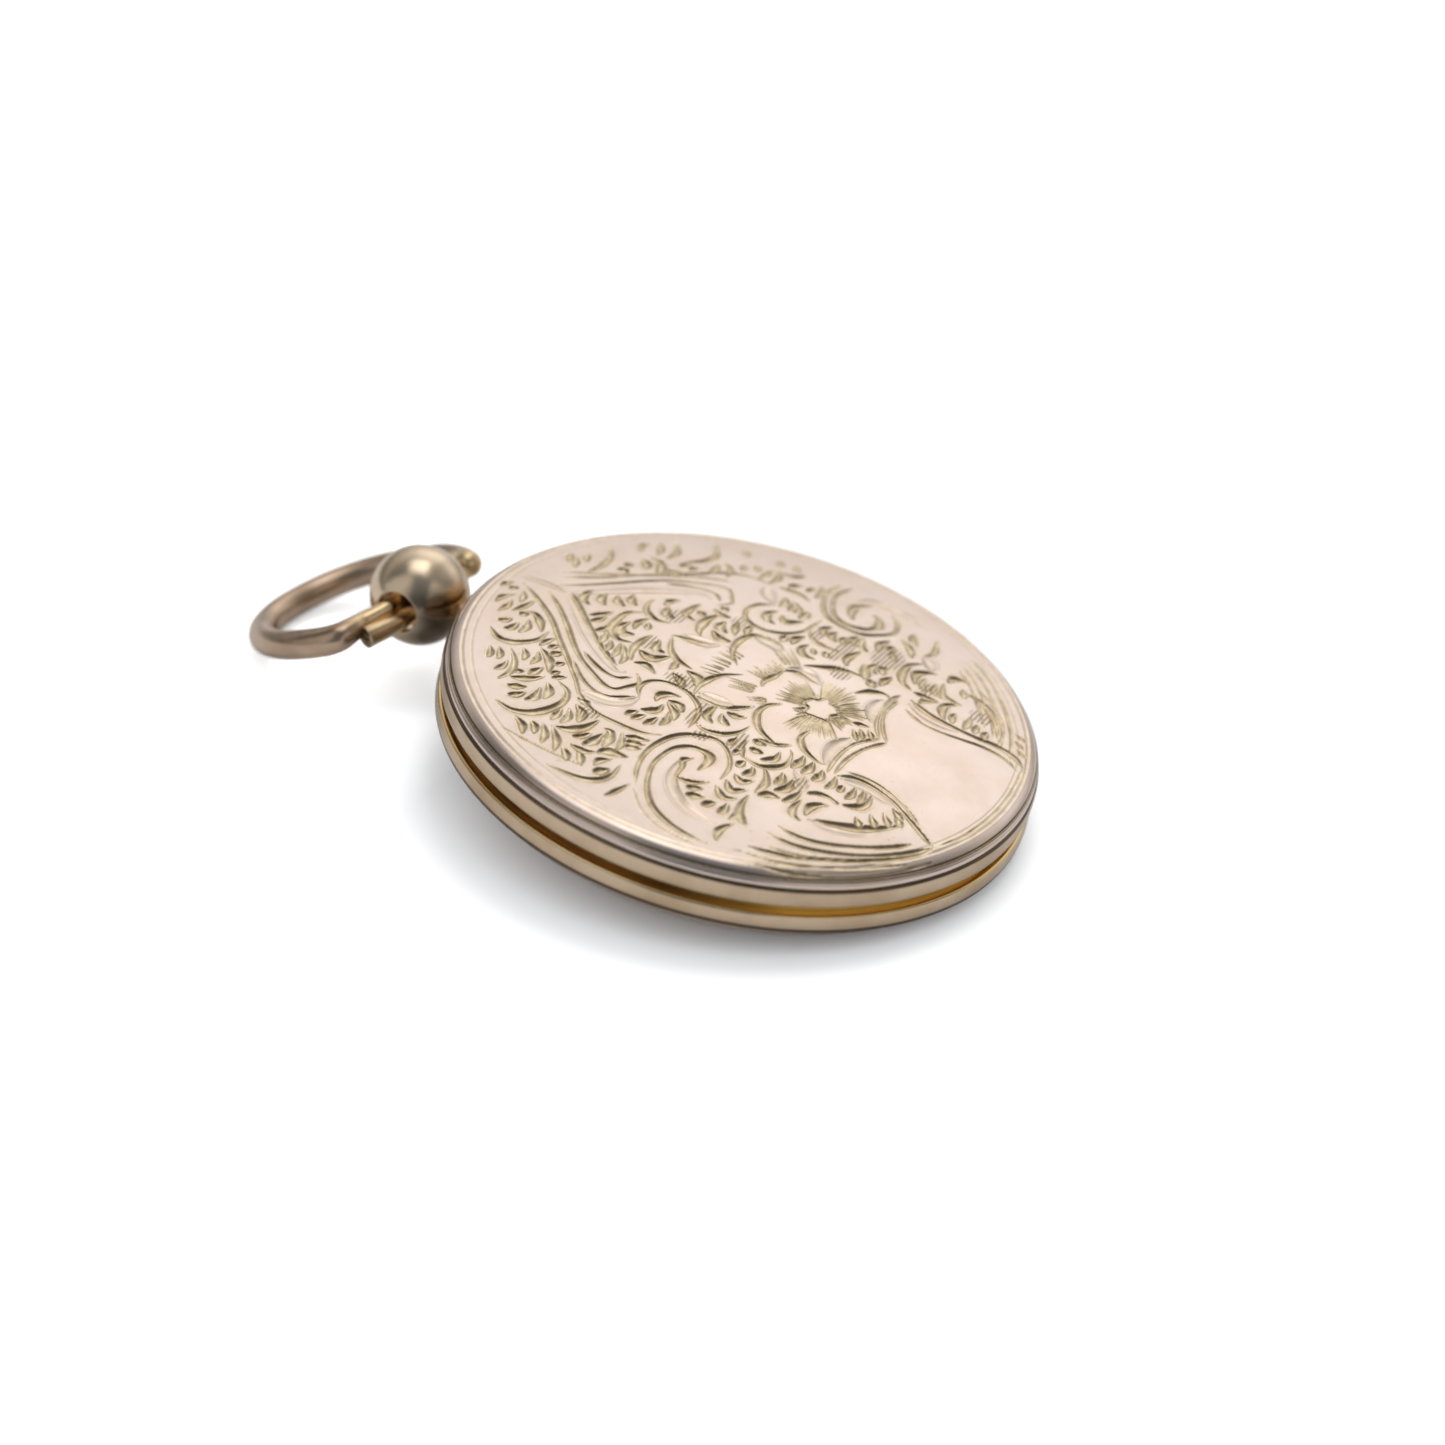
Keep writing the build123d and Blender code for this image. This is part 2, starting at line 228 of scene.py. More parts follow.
def curve_through(points, step=0.07):
    """Smooth curve through a few points (centripetal feel, plain Catmull-Rom), in small steps."""
    p = np.array(points, float)
    if len(p) == 2:
        count = max(2, int(np.linalg.norm(p[1] - p[0]) / step) + 1)
        t = np.linspace(0, 1, count)[:, None]
        return p[0] * (1 - t) + p[1] * t
    padded = np.vstack([2 * p[0] - p[1], p, 2 * p[-1] - p[-2]])
    parts = []
    for i in range(1, len(padded) - 2):
        a, b, c, d = padded[i - 1 : i + 3]
        count = max(2, int(np.linalg.norm(c - b) / step) + 1)
        t = np.linspace(0, 1, count, endpoint=False)[:, None]
        parts.append(
            0.5 * (2 * b + (c - a) * t + (2 * a - 5 * b + 4 * c - d) * t**2 + (3 * b - a - 3 * c + d) * t**3)
        )
    parts.append(p[-1:])
    return np.vstack(parts)


def along(curve):
    """Share of the length covered at each sample of a curve."""
    length = np.r_[0, np.cumsum(np.linalg.norm(np.diff(curve, axis=0), axis=1))]
    return length / length[-1]


def comma(width, *curves, swell=0.42):
    """Graver cuts that start fine, swell and run out: one for each list of points."""
    cuts = []
    for points in curves:
        curve = curve_through(points)
        t = along(curve)
        rise = np.clip(t / swell, 0, 1) ** 0.6
        fall = np.clip((1 - t) / (1 - swell), 0, 1) ** 0.7
        cuts.append((curve, 0.75 * width * np.minimum(rise, fall) + 0.015, 0.6, 0.85))
    return cuts


def line(width, *curves):
    """Long cuts of nearly even width."""
    cuts = []
    for points in curves:
        curve = curve_through(points)
        t = along(curve)
        ends = np.clip(np.minimum(t, 1 - t) / 0.1, 0.15, 1) ** 0.6
        breathing = 1 + 0.18 * np.sin(9 * t + len(points))
        cuts.append((curve, 0.55 * width * ends * breathing, 0.7, 0.85))
    return cuts


def hollow(width, *curves):
    """Wide shallow scoops that shade a leaf or a petal."""
    cuts = []
    for points in curves:
        curve = curve_through(points)
        t = along(curve)
        cuts.append((curve, 0.5 * width * np.sin(math.pi * np.clip(t, 0.04, 0.96)) ** 0.5, 0.2, 0.25))
    return cuts


def rays(centre, angles, inner, outer, width):
    """Fine shading strokes that fan out from one point, with uneven lengths."""
    cuts = []
    for angle in angles:
        a = math.radians(angle + rng.uniform(-0.8, 0.8))
        low = inner + rng.uniform(-0.12, 0.12)
        high = outer + rng.uniform(-0.35, 0.25)
        start = (centre[0] + low * math.cos(a), centre[1] + low * math.sin(a))
        end = (centre[0] + high * math.cos(a), centre[1] + high * math.sin(a))
        cuts += comma(width, [start, end], swell=0.15)
    return cuts


def far_side(curves, shift):
    """Mirror image of near-side curves, moved over as the engraver's second half was."""
    return [[(-x + shift, y) for x, y in points] for points in curves]


def ribbons():
    """Two bands of parallel lines that part below the pendant and curl over the small scrolls."""
    outer = [(0.05, 14.6), (-1.0, 13.1), (-2.4, 11.45), (-4.0, 10.05), (-5.4, 8.75), (-6.9, 7.4),
             (-8.0, 6.5), (-8.85, 5.2), (-9.0, 3.5), (-8.9, 2.2), (-8.4, 1.2)]
    second = [(0.1, 13.0), (-0.9, 11.85), (-2.4, 10.45), (-3.9, 9.2), (-5.0, 8.1), (-5.8, 6.9),
              (-6.35, 5.9), (-6.35, 5.2), (-5.7, 4.75), (-5.0, 4.45), (-4.3, 4.95)]
    third = [(-4.3, 8.3), (-4.9, 7.4), (-5.3, 6.4), (-5.3, 5.6), (-4.8, 5.05)]
    hair = [(-5.4, 8.4), (-6.5, 7.3), (-7.15, 6.2), (-7.2, 5.3), (-6.9, 4.7), (-6.3, 4.05)]
    edge = [(0.85, 11.95), (0.0, 11.1), (-1.0, 10.1), (-2.2, 8.9), (-3.3, 7.7), (-4.3, 6.3)]
    scoop = [(0.3, 11.8), (-1.3, 10.2), (-2.6, 8.9), (-3.8, 7.5), (-4.7, 6.2), (-4.6, 5.6)]
    curl = [(-7.7, 6.6), (-7.75, 5.4), (-7.5, 4.6), (-6.9, 4.0), (-6.3, 3.8)]
    cuts = line(0.27, outer, second) + line(0.24, third) + line(0.2, hair) + line(0.3, edge)
    cuts += hollow(0.75, scoop, curl)
    cuts += line(0.2, *far_side([outer[1:9], second, third], 1.2)) + hollow(0.7, *far_side([scoop], 1.2))
    cuts += hollow(0.5, [(0.75, 15.1), (0.8, 13.6), (0.7, 12.3)])
    cuts += line(0.16, [(2.6, 13.6), (4.0, 11.6), (5.6, 9.6), (7.4, 7.6), (8.7, 5.6)])
    return cuts


def upper_near_flank():
    """C-scrolls and leaf cuts between the near ribbon and the border, bow end first."""
    cuts = comma(0.36, [(-5.2, 13.8), (-5.9, 12.9), (-5.9, 12.1), (-5.4, 11.4), (-4.7, 10.95), (-3.6, 10.9)])
    cuts += comma(
        0.36, [(-4.3, 13.8), (-4.1, 13.4), (-3.7, 13.2)], [(-4.85, 13.1), (-4.6, 12.75), (-3.9, 12.7)],
        [(-4.8, 12.2), (-4.0, 12.08), (-3.25, 12.45)], [(-3.1, 13.1), (-2.7, 12.7)],
        [(-4.0, 11.2), (-3.2, 11.7), (-2.55, 12.4), (-2.6, 13.1)],
    )
    cuts += comma(
        0.3, [(-2.7, 14.9), (-2.0, 14.85), (-1.3, 14.4)], [(-0.9, 15.0), (-0.5, 14.6)],
        [(-1.9, 13.75), (-1.2, 13.9), (-0.7, 14.25)], [(-3.0, 13.65), (-2.2, 13.3), (-1.2, 13.15)],
        [(-3.5, 14.3), (-2.6, 14.1), (-1.9, 14.3)], [(-0.9, 15.6), (-0.1, 15.2)],
    )
    cuts += comma(
        0.3, [(-8.0, 12.35), (-7.5, 12.4), (-6.9, 12.8)], [(-7.8, 11.8), (-7.3, 11.9), (-6.7, 12.35)],
        [(-8.8, 11.45), (-8.2, 11.2), (-7.6, 11.25)],
        [(-9.5, 10.85), (-8.4, 10.6), (-7.3, 11.0), (-6.4, 11.8)],
        [(-7.1, 10.6), (-6.5, 10.75), (-6.0, 11.2)], [(-7.2, 10.1), (-6.4, 10.05), (-5.8, 10.4)],
        [(-5.3, 10.6), (-4.7, 10.5), (-4.0, 10.25)], [(-5.2, 10.1), (-4.5, 9.7)],
        [(-6.4, 8.95), (-5.9, 8.6)], [(-7.3, 8.75), (-6.8, 8.4)], [(-7.6, 8.5), (-7.05, 7.85)],
        [(-8.25, 10.5), (-8.0, 10.0)],
    )
    cuts += comma(
        0.4, [(-7.3, 8.85), (-6.4, 9.3), (-5.8, 9.9), (-5.4, 10.5)], [(-5.7, 9.65), (-5.1, 9.2)],
        [(-8.85, 10.4), (-8.6, 9.7), (-8.2, 9.2), (-7.7, 8.85)], [(-8.1, 9.65), (-7.6, 9.5), (-7.05, 9.35)],
        [(-9.6, 10.1), (-9.45, 9.6), (-9.15, 9.15)], [(-10.35, 9.65), (-10.1, 9.2), (-9.6, 8.95)],
        [(-10.3, 8.65), (-9.7, 8.3), (-8.8, 8.5)], [(-9.6, 7.85), (-8.8, 7.95), (-8.15, 8.45)],
    )
    cuts += comma(
        0.42,
        [(-11.2, 9.9), (-11.45, 8.8), (-11.1, 7.8), (-10.3, 7.15), (-9.2, 6.85), (-8.2, 7.15),
         (-7.65, 8.1)],
    )
    return cuts


def middle_near_flank():
    """Leaf cuts between the near ribbon, the border and the big scroll."""
    cuts = comma(0.32, [(-14.45, 4.9), (-14.35, 3.0), (-13.9, 2.0), (-13.1, 1.6), (-12.0, 1.65)], swell=0.6)
    cuts += comma(0.26, [(-14.85, 1.1), (-14.2, 0.8), (-13.1, 0.45)])
    cuts += line(0.12, [(-13.1, 8.4), (-13.35, 6.6), (-13.45, 5.0), (-13.4, 3.1)])
    cuts += comma(
        0.34, [(-13.55, 4.15), (-13.1, 4.4), (-12.65, 4.95)],
        [(-13.35, 3.35), (-12.8, 3.7), (-12.35, 4.15)], [(-12.2, 4.7), (-12.25, 3.8), (-11.85, 3.15)],
        [(-12.95, 2.8), (-12.4, 2.7), (-11.95, 2.25)], [(-11.55, 4.95), (-11.2, 4.5), (-10.65, 4.2)],
        [(-11.15, 2.45), (-10.4, 2.5), (-9.6, 2.95)], [(-10.55, 2.4), (-10.15, 1.4)],
        [(-10.15, 2.5), (-9.75, 1.4)], [(-9.75, 2.7), (-9.25, 1.4)],
        [(-11.0, 6.6), (-10.4, 6.55), (-9.75, 6.6)], [(-10.95, 6.05), (-10.2, 5.95), (-9.5, 6.3)],
        [(-8.7, 5.5), (-8.45, 6.0), (-8.4, 6.45)], [(-13.3, 5.1), (-12.4, 5.4), (-11.4, 6.3)],
        [(-13.1, 6.0), (-12.3, 6.2), (-11.5, 6.8)], [(-12.6, 6.7), (-12.0, 7.0), (-11.65, 7.5)],
        [(-13.0, 7.2), (-12.3, 7.6), (-11.8, 8.4)],
    )
    cuts += comma(
        0.46, [(-11.35, 6.1), (-11.1, 5.3), (-10.5, 4.75), (-9.4, 4.45)],
        [(-12.0, 3.15), (-11.5, 2.8), (-11.25, 1.6)], [(-13.45, 2.55), (-13.15, 2.2), (-12.7, 1.95)],
        [(-11.85, 4.15), (-11.2, 3.8), (-10.3, 3.7)],
        [(-11.35, 3.15), (-10.5, 3.25), (-9.9, 3.5), (-9.85, 3.95)],
        [(-10.3, 5.3), (-9.5, 5.5), (-8.95, 6.2)],
    )
    return cuts


def near_small_scroll():
    """Small volute where the near ribbon ends, with its comma cuts."""
    cuts = line(
        0.27,
        [(-6.1, 3.85), (-5.3, 4.25), (-4.4, 4.05), (-3.85, 3.2), (-3.9, 2.0), (-4.6, 0.95), (-5.6, 0.45),
         (-6.85, 0.35)],
    )
    cuts += comma(
        0.38, [(-7.1, 3.2), (-6.8, 2.65), (-6.4, 2.4), (-5.85, 2.45)],
        [(-5.9, 2.9), (-5.3, 3.0), (-4.75, 2.6), (-4.6, 2.0)], [(-6.8, 1.3), (-6.1, 1.6), (-5.5, 2.4)],
        [(-5.8, 1.25), (-5.3, 1.8), (-5.35, 2.45)],
    )
    cuts += comma(
        0.32, [(-8.05, 3.65), (-7.3, 3.2)], [(-8.2, 3.2), (-7.35, 2.7)],
        [(-8.2, 2.45), (-7.7, 2.2), (-7.1, 2.1)], [(-7.7, 1.7), (-7.0, 1.6), (-6.3, 1.85)],
    )
    return cuts


def middle_spray():
    """Commas and little scrolls between the two ribbons, above the flower."""
    cuts = comma(
        0.32, [(-4.1, 6.2), (-3.2, 6.3), (-2.2, 6.95)], [(-3.8, 6.9), (-3.0, 6.88), (-2.1, 7.2)],
        [(-3.5, 7.5), (-2.8, 7.5), (-2.2, 7.75)], [(-2.9, 8.1), (-2.2, 8.15), (-1.6, 8.35)],
        [(-2.0, 8.95), (-1.5, 8.6), (-0.9, 8.6)], [(-1.25, 9.65), (-0.8, 9.3), (-0.2, 9.1)],
        [(-0.7, 10.0), (-0.1, 9.4), (0.6, 9.05)], [(-0.4, 7.3), (0.4, 7.45), (1.3, 7.15)],
        [(0.1, 6.7), (0.8, 6.95)], [(-3.35, 5.85), (-2.4, 6.3), (-1.2, 6.4), (-0.1, 6.15)],
        [(-3.4, 5.65), (-3.15, 5.0), (-3.65, 4.15)], [(-2.7, 3.8), (-2.1, 3.75), (-1.4, 3.95)],
    )
    cuts += comma(
        0.4, [(0.3, 10.5), (0.6, 11.1), (1.2, 11.25), (2.0, 11.15)],
        [(0.85, 9.8), (1.3, 10.3), (2.2, 10.4)], [(1.5, 8.9), (1.7, 9.45), (2.3, 9.72)],
        [(2.05, 8.4), (2.3, 8.9), (3.0, 9.05)], [(-3.65, 2.35), (-3.15, 2.9), (-2.85, 3.5)],
        [(-1.4, 4.8), (-1.3, 5.4), (-0.3, 5.65)],
    )
    cuts += comma(
        0.5, [(-2.1, 6.0), (-2.4, 5.1), (-1.5, 4.35)], [(-3.1, 1.9), (-2.35, 2.15), (-2.1, 3.0)],
        [(-0.85, 7.0), (-1.15, 7.7), (-0.6, 8.0), (0.2, 7.8)],
    )
    cuts += comma(0.4, [(-1.65, 6.6), (-1.9, 7.5), (-1.2, 8.3), (0.0, 8.5), (1.0, 8.4), (1.7, 7.7)])
    return cuts


def far_spray():
    """Little scrolls between the flower's top leaf and the far ribbon."""
    cuts = comma(0.3, [(1.65, 6.0), (1.4, 6.8), (1.8, 7.6), (2.6, 8.0), (3.5, 8.0)])
    cuts += comma(
        0.42, [(2.25, 6.1), (2.4, 6.7), (3.2, 6.95)], [(2.35, 2.5), (2.2, 3.2), (2.7, 3.9)],
        [(1.6, 4.1), (2.3, 4.5), (3.5, 4.6), (4.7, 4.3)], [(3.0, 3.1), (3.3, 3.7), (4.1, 3.7)],
    )
    cuts += comma(
        0.33, [(3.2, 7.25), (3.8, 7.15), (4.4, 6.8)], [(2.85, 5.1), (3.1, 5.8), (4.0, 5.85), (4.9, 5.7)],
        [(3.8, 4.9), (4.0, 5.5)], [(3.1, 2.65), (3.7, 2.9), (4.8, 3.3)],
        [(3.6, 2.2), (4.4, 2.4), (5.0, 2.3)], [(4.7, 3.7), (4.6, 4.3), (4.9, 4.9)],
        [(5.3, 4.2), (5.4, 4.7)],
    )
    return cuts


def near_big_scroll():
    """Large double-line volute beside the flower."""
    cuts = line(
        0.3,
        [(-13.0, 0.25), (-11.5, 0.9), (-10.0, 1.1), (-8.5, 0.8), (-7.5, 0.2), (-6.85, -0.8), (-6.75, -1.6),
         (-7.4, -2.5), (-8.4, -3.05), (-9.6, -3.15)],
        [(-14.55, -5.0), (-14.6, -3.2), (-14.0, -1.5), (-12.8, -0.4), (-11.2, 0.25), (-10.0, 0.3),
         (-8.9, 0.05), (-8.2, -0.6), (-8.1, -1.4), (-8.5, -1.85), (-9.1, -1.95), (-9.7, -1.85)],
    )
    cuts += comma(0.42, [(-8.0, -0.8), (-8.2, -1.7), (-8.9, -1.95), (-9.8, -1.8)])
    cuts += hollow(
        0.7, [(-13.0, -4.6), (-12.9, -3.0), (-12.2, -1.8), (-11.2, -1.0), (-9.9, -0.8), (-9.2, -0.95)],
    )
    cuts += comma(0.26, [(-11.8, -1.7), (-11.0, -1.15), (-10.0, -1.0), (-9.5, -0.8), (-9.0, -1.2)], swell=0.8)
    cuts += comma(0.28, [(-11.0, -1.1), (-10.85, -2.0), (-10.2, -2.85)])
    cuts += line(0.12, [(-15.1, -4.6), (-15.05, -2.6), (-14.5, -1.0), (-13.4, 0.1)])
    return cuts


def near_commas():
    """Rows of crescents below the near big scroll, and the two little scrolls by the flower."""
    cuts = comma(
        0.36, [(-11.35, -2.0), (-10.9, -2.85)], [(-11.9, -2.25), (-11.45, -3.25)],
        [(-12.15, -3.35), (-11.35, -3.9)], [(-12.1, -4.3), (-11.6, -4.5), (-11.05, -4.4)],
        [(-10.2, -3.2), (-10.75, -3.9), (-10.35, -4.7)], [(-9.4, -3.4), (-9.95, -4.0), (-9.3, -4.75)],
        [(-8.65, -3.5), (-8.95, -4.1), (-8.4, -4.65)], [(-8.45, -3.85), (-7.9, -4.15), (-7.4, -4.0)],
        [(-8.0, -3.3), (-7.3, -3.45)], [(-6.1, -3.1), (-6.0, -3.9)], [(-5.3, -2.9), (-5.25, -3.7)],
        [(-6.6, -4.0), (-6.0, -4.6), (-5.2, -4.55)], [(-4.1, -0.6), (-4.05, -1.2), (-3.75, -1.7)],
        [(-5.1, -1.3), (-4.95, -0.8), (-4.4, -0.45)],
        [(-5.55, -0.5), (-5.2, 0.1), (-4.6, 0.15), (-3.85, 0.1)],
    )
    cuts += comma(
        0.28, [(-7.0, -3.1), (-7.1, -4.2), (-6.6, -4.95), (-5.9, -5.3), (-5.0, -5.15), (-4.6, -4.85)],
        [(-7.1, -3.2), (-6.3, -2.7), (-5.5, -2.6)], [(-6.75, -2.0), (-5.75, -2.15)],
        [(-7.3, -2.6), (-6.4, -2.85)],
        [(-6.1, 0.35), (-6.35, -0.4), (-6.0, -1.4), (-5.2, -2.0), (-4.3, -2.2)],
        [(-4.0, -0.15), (-3.4, -0.8), (-2.5, -1.55)], [(-5.0, -3.0), (-4.8, -4.0), (-4.2, -4.7)],
    )
    cuts += comma(
        0.34, [(-14.1, -5.35), (-13.5, -5.1), (-12.9, -5.15), (-12.3, -5.45)],
        [(-12.2, -5.05), (-11.4, -5.2), (-10.6, -5.0), (-9.7, -4.95)],
        [(-11.95, -6.0), (-11.6, -5.5), (-10.9, -5.15)],
        [(-9.3, -5.1), (-8.2, -5.2), (-7.4, -4.8), (-7.0, -4.4)],
    )
    return cuts


def near_lower_leaf():
    """Scrolled leaf that flanks the plate for initials on the near side."""
    cuts = comma(
        0.4, [(-9.35, -5.3), (-8.85, -5.8), (-8.75, -6.4)], [(-8.4, -5.8), (-7.7, -6.3), (-6.8, -6.2)],
        [(-7.9, -5.55), (-7.3, -5.72), (-6.7, -5.5)], [(-6.0, -5.6), (-5.2, -5.8), (-4.5, -5.7)],
        [(-6.0, -6.25), (-5.3, -6.45), (-4.6, -6.35)], [(-6.1, -6.95), (-5.5, -7.2), (-4.9, -7.05)],
        [(-9.0, -8.05), (-8.2, -7.98), (-7.6, -8.3), (-7.35, -8.7)],
        [(-6.75, -9.2), (-6.3, -9.9), (-5.7, -10.2), (-4.8, -10.1)],
    )
    cuts += comma(
        0.33, [(-8.9, -6.55), (-8.2, -6.9), (-7.3, -7.0)], [(-6.2, -7.8), (-5.6, -8.02), (-4.8, -7.85)],
        [(-5.9, -8.5), (-5.2, -8.55)], [(-6.2, -9.05), (-5.6, -9.22), (-4.9, -9.1)],
        [(-6.0, -9.8), (-5.3, -9.75), (-4.7, -9.6)], [(-7.7, -10.85), (-7.1, -10.2)],
        [(-7.1, -11.5), (-6.3, -10.7)], [(-6.5, -12.1), (-5.65, -11.2)], [(-5.95, -12.5), (-5.3, -11.8)],
        [(-5.4, -12.3), (-4.9, -11.4)], [(-9.6, -8.1), (-9.4, -7.5), (-8.8, -7.28), (-8.0, -7.35)],
    )
    cuts += line(0.3, [(-7.3, -7.3), (-6.9, -7.7), (-6.7, -8.3), (-6.85, -9.0)])
    cuts += hollow(0.6, [(-7.0, -7.0), (-6.4, -6.4), (-6.1, -5.9)])
    cuts += comma(
        0.44, [(-8.95, -8.6), (-8.5, -9.6), (-8.0, -10.5), (-7.4, -11.2), (-6.6, -11.9), (-5.7, -12.5)],
    )
    cuts += hollow(0.7, [(-9.2, -8.4), (-8.9, -9.4), (-8.3, -10.5), (-7.6, -11.4)])
    return cuts


def name_plate():
    """Plain shield for initials at the bottom, with its double outline."""
    near_edge = [(-4.7, -7.9), (-4.2, -8.6), (-4.05, -9.6), (-4.3, -11.0), (-4.9, -12.3), (-5.6, -13.6),
                 (-6.05, -14.5)]
    near_hair = [(-4.0, -8.1), (-3.7, -9.2), (-3.75, -10.3), (-4.2, -11.8), (-5.0, -13.1)]
    far_edge = [(5.1, -7.8), (4.7, -9.0), (4.7, -10.5), (4.9, -12.0), (5.2, -13.3), (5.1, -14.4),
                (4.6, -15.2)]
    far_hair = [(3.95, -7.95), (3.5, -9.2), (3.6, -10.3), (3.95, -11.4), (4.35, -12.5), (4.5, -13.5),
                (4.4, -14.3), (4.0, -15.1)]
    top = [(-4.9, -7.3), (-3.4, -7.1), (-2.0, -7.15), (-0.9, -7.5), (0.1, -8.1), (1.2, -7.4), (2.5, -7.0),
           (4.0, -6.9), (5.0, -7.1)]
    second = [(-4.7, -7.65), (-3.2, -7.6), (-1.8, -7.8), (-0.8, -8.15), (0.1, -8.6), (1.1, -7.85),
              (2.3, -7.3), (3.5, -7.2), (4.4, -7.25)]
    cuts = line(0.28, near_edge) + line(0.2, near_hair, far_hair) + line(0.34, far_edge)
    cuts += line(0.22, top[:5], top[4:]) + line(0.22, second[:5], second[4:])
    cuts += hollow(
        0.7, [(-4.8, -8.2), (-4.45, -9.6), (-4.7, -11.2)], [(4.6, -7.9), (4.3, -9.2), (4.45, -11.0)],
    )
    cuts += line(0.12, [(-6.0, -14.6), (-3.6, -15.4), (-0.5, -15.75), (2.4, -15.6), (4.6, -15.2)])
    return cuts


def sweeping_lines():
    """Long parallel cuts that follow the border towards the bottom corners."""
    cuts = line(
        0.27,
        [(-13.3, -6.9), (-12.6, -8.7), (-11.8, -10.0), (-10.5, -11.6), (-8.9, -13.0), (-7.3, -14.1),
         (-6.2, -14.55)],
        [(-11.65, -7.2), (-11.55, -8.6), (-10.9, -10.1), (-9.5, -12.0), (-7.8, -13.5), (-6.3, -14.4)],
        [(-10.8, -7.4), (-10.75, -8.7), (-10.2, -10.0), (-9.0, -11.6), (-7.8, -12.8), (-6.8, -13.5)],
    )
    cuts += line(
        0.16, [(-12.6, -7.8), (-11.9, -9.6), (-10.9, -10.95), (-9.6, -12.3), (-8.3, -13.3)],
        [(-14.3, -7.5), (-13.6, -9.2), (-12.4, -11.0), (-11.0, -12.4), (-9.0, -13.95), (-7.0, -14.95)],
        [(-14.0, -6.4), (-13.3, -8.6), (-12.2, -10.4), (-10.6, -12.2), (-8.4, -14.0)],
    )
    for inset in (0.0, 0.55, 1.1, 1.6):
        r = 15.1 - inset
        angles = np.radians([-72 + 6 * inset, -60, -46, -34 - 3 * inset])
        cuts += line(0.18, [(r * math.cos(a), r * math.sin(a)) for a in angles])
    cuts += comma(
        0.18, [(5.6, -14.95), (5.95, -14.2)], [(6.3, -14.5), (6.65, -13.75)],
        [(7.05, -14.3), (7.35, -13.5)],
    )
    return cuts


def far_lower_leaf():
    """Scrolled leaf that flanks the plate for initials on the far side."""
    cuts = comma(
        0.4, [(6.0, -7.4), (6.4, -6.6), (7.2, -6.2), (8.4, -6.1), (9.3, -6.6)],
        [(6.8, -7.2), (7.8, -6.8), (8.5, -7.1), (9.0, -7.7)], [(6.8, -8.9), (7.1, -8.3), (8.0, -8.1)],
        [(4.9, -10.0), (5.6, -9.5), (6.4, -9.45), (7.0, -9.9)],
        [(8.6, -9.8), (8.4, -11.0), (7.3, -12.2), (5.9, -13.0)], [(8.7, -8.5), (9.4, -8.6), (9.8, -9.4)],
    )
    cuts += comma(
        0.34, [(6.6, -8.0), (7.2, -7.5), (8.0, -7.4)],
        [(7.15, -10.1), (7.1, -9.0), (7.6, -8.65), (8.5, -8.35)],
        [(5.0, -10.45), (5.6, -10.2), (6.1, -10.2)], [(5.0, -11.15), (6.0, -11.1), (6.6, -10.95)],
        [(5.2, -11.75), (6.2, -11.6)], [(8.0, -9.85), (8.8, -9.45)], [(5.2, -12.3), (6.0, -12.3)],
        [(5.2, -8.2), (5.8, -8.4), (6.3, -9.0)], [(6.0, -7.5), (6.1, -8.2), (6.35, -8.9)],
    )
    cuts += line(0.16, [(5.4, -13.25), (6.6, -13.0), (7.8, -12.4), (8.8, -11.4), (9.6, -10.0)])
    cuts += comma(0.24, [(10.1, -6.25), (11.0, -6.55), (12.7, -6.05)])
    cuts += hollow(0.8, [(9.0, -7.2), (9.6, -6.9), (10.0, -6.4)])
    return cuts


def far_small_scroll():
    """Small volute where the far ribbon ends, with its comma cuts."""
    cuts = line(
        0.27,
        [(8.1, 2.5), (7.3, 3.25), (6.3, 3.45), (5.4, 3.1), (5.0, 2.4), (5.05, 1.5), (5.6, 0.6), (6.5, 0.0),
         (7.3, -0.15), (8.6, -0.25)],
    )
    cuts += comma(
        0.38, [(6.05, 1.5), (6.2, 2.1), (6.8, 2.35), (7.6, 2.05)],
        [(7.3, 1.65), (6.8, 1.3), (7.0, 0.9), (7.7, 0.4)], [(8.1, 1.7), (8.9, 1.55), (9.4, 1.95)],
        [(7.8, 0.85), (8.4, 0.65), (9.0, 0.75)], [(8.1, 2.25), (8.8, 2.15), (9.4, 2.55)],
        [(8.2, 1.35), (8.6, 1.2), (9.1, 1.4)],
    )
    cuts += hollow(0.8, [(8.2, 2.7), (8.8, 3.3), (9.6, 3.7)])
    return cuts


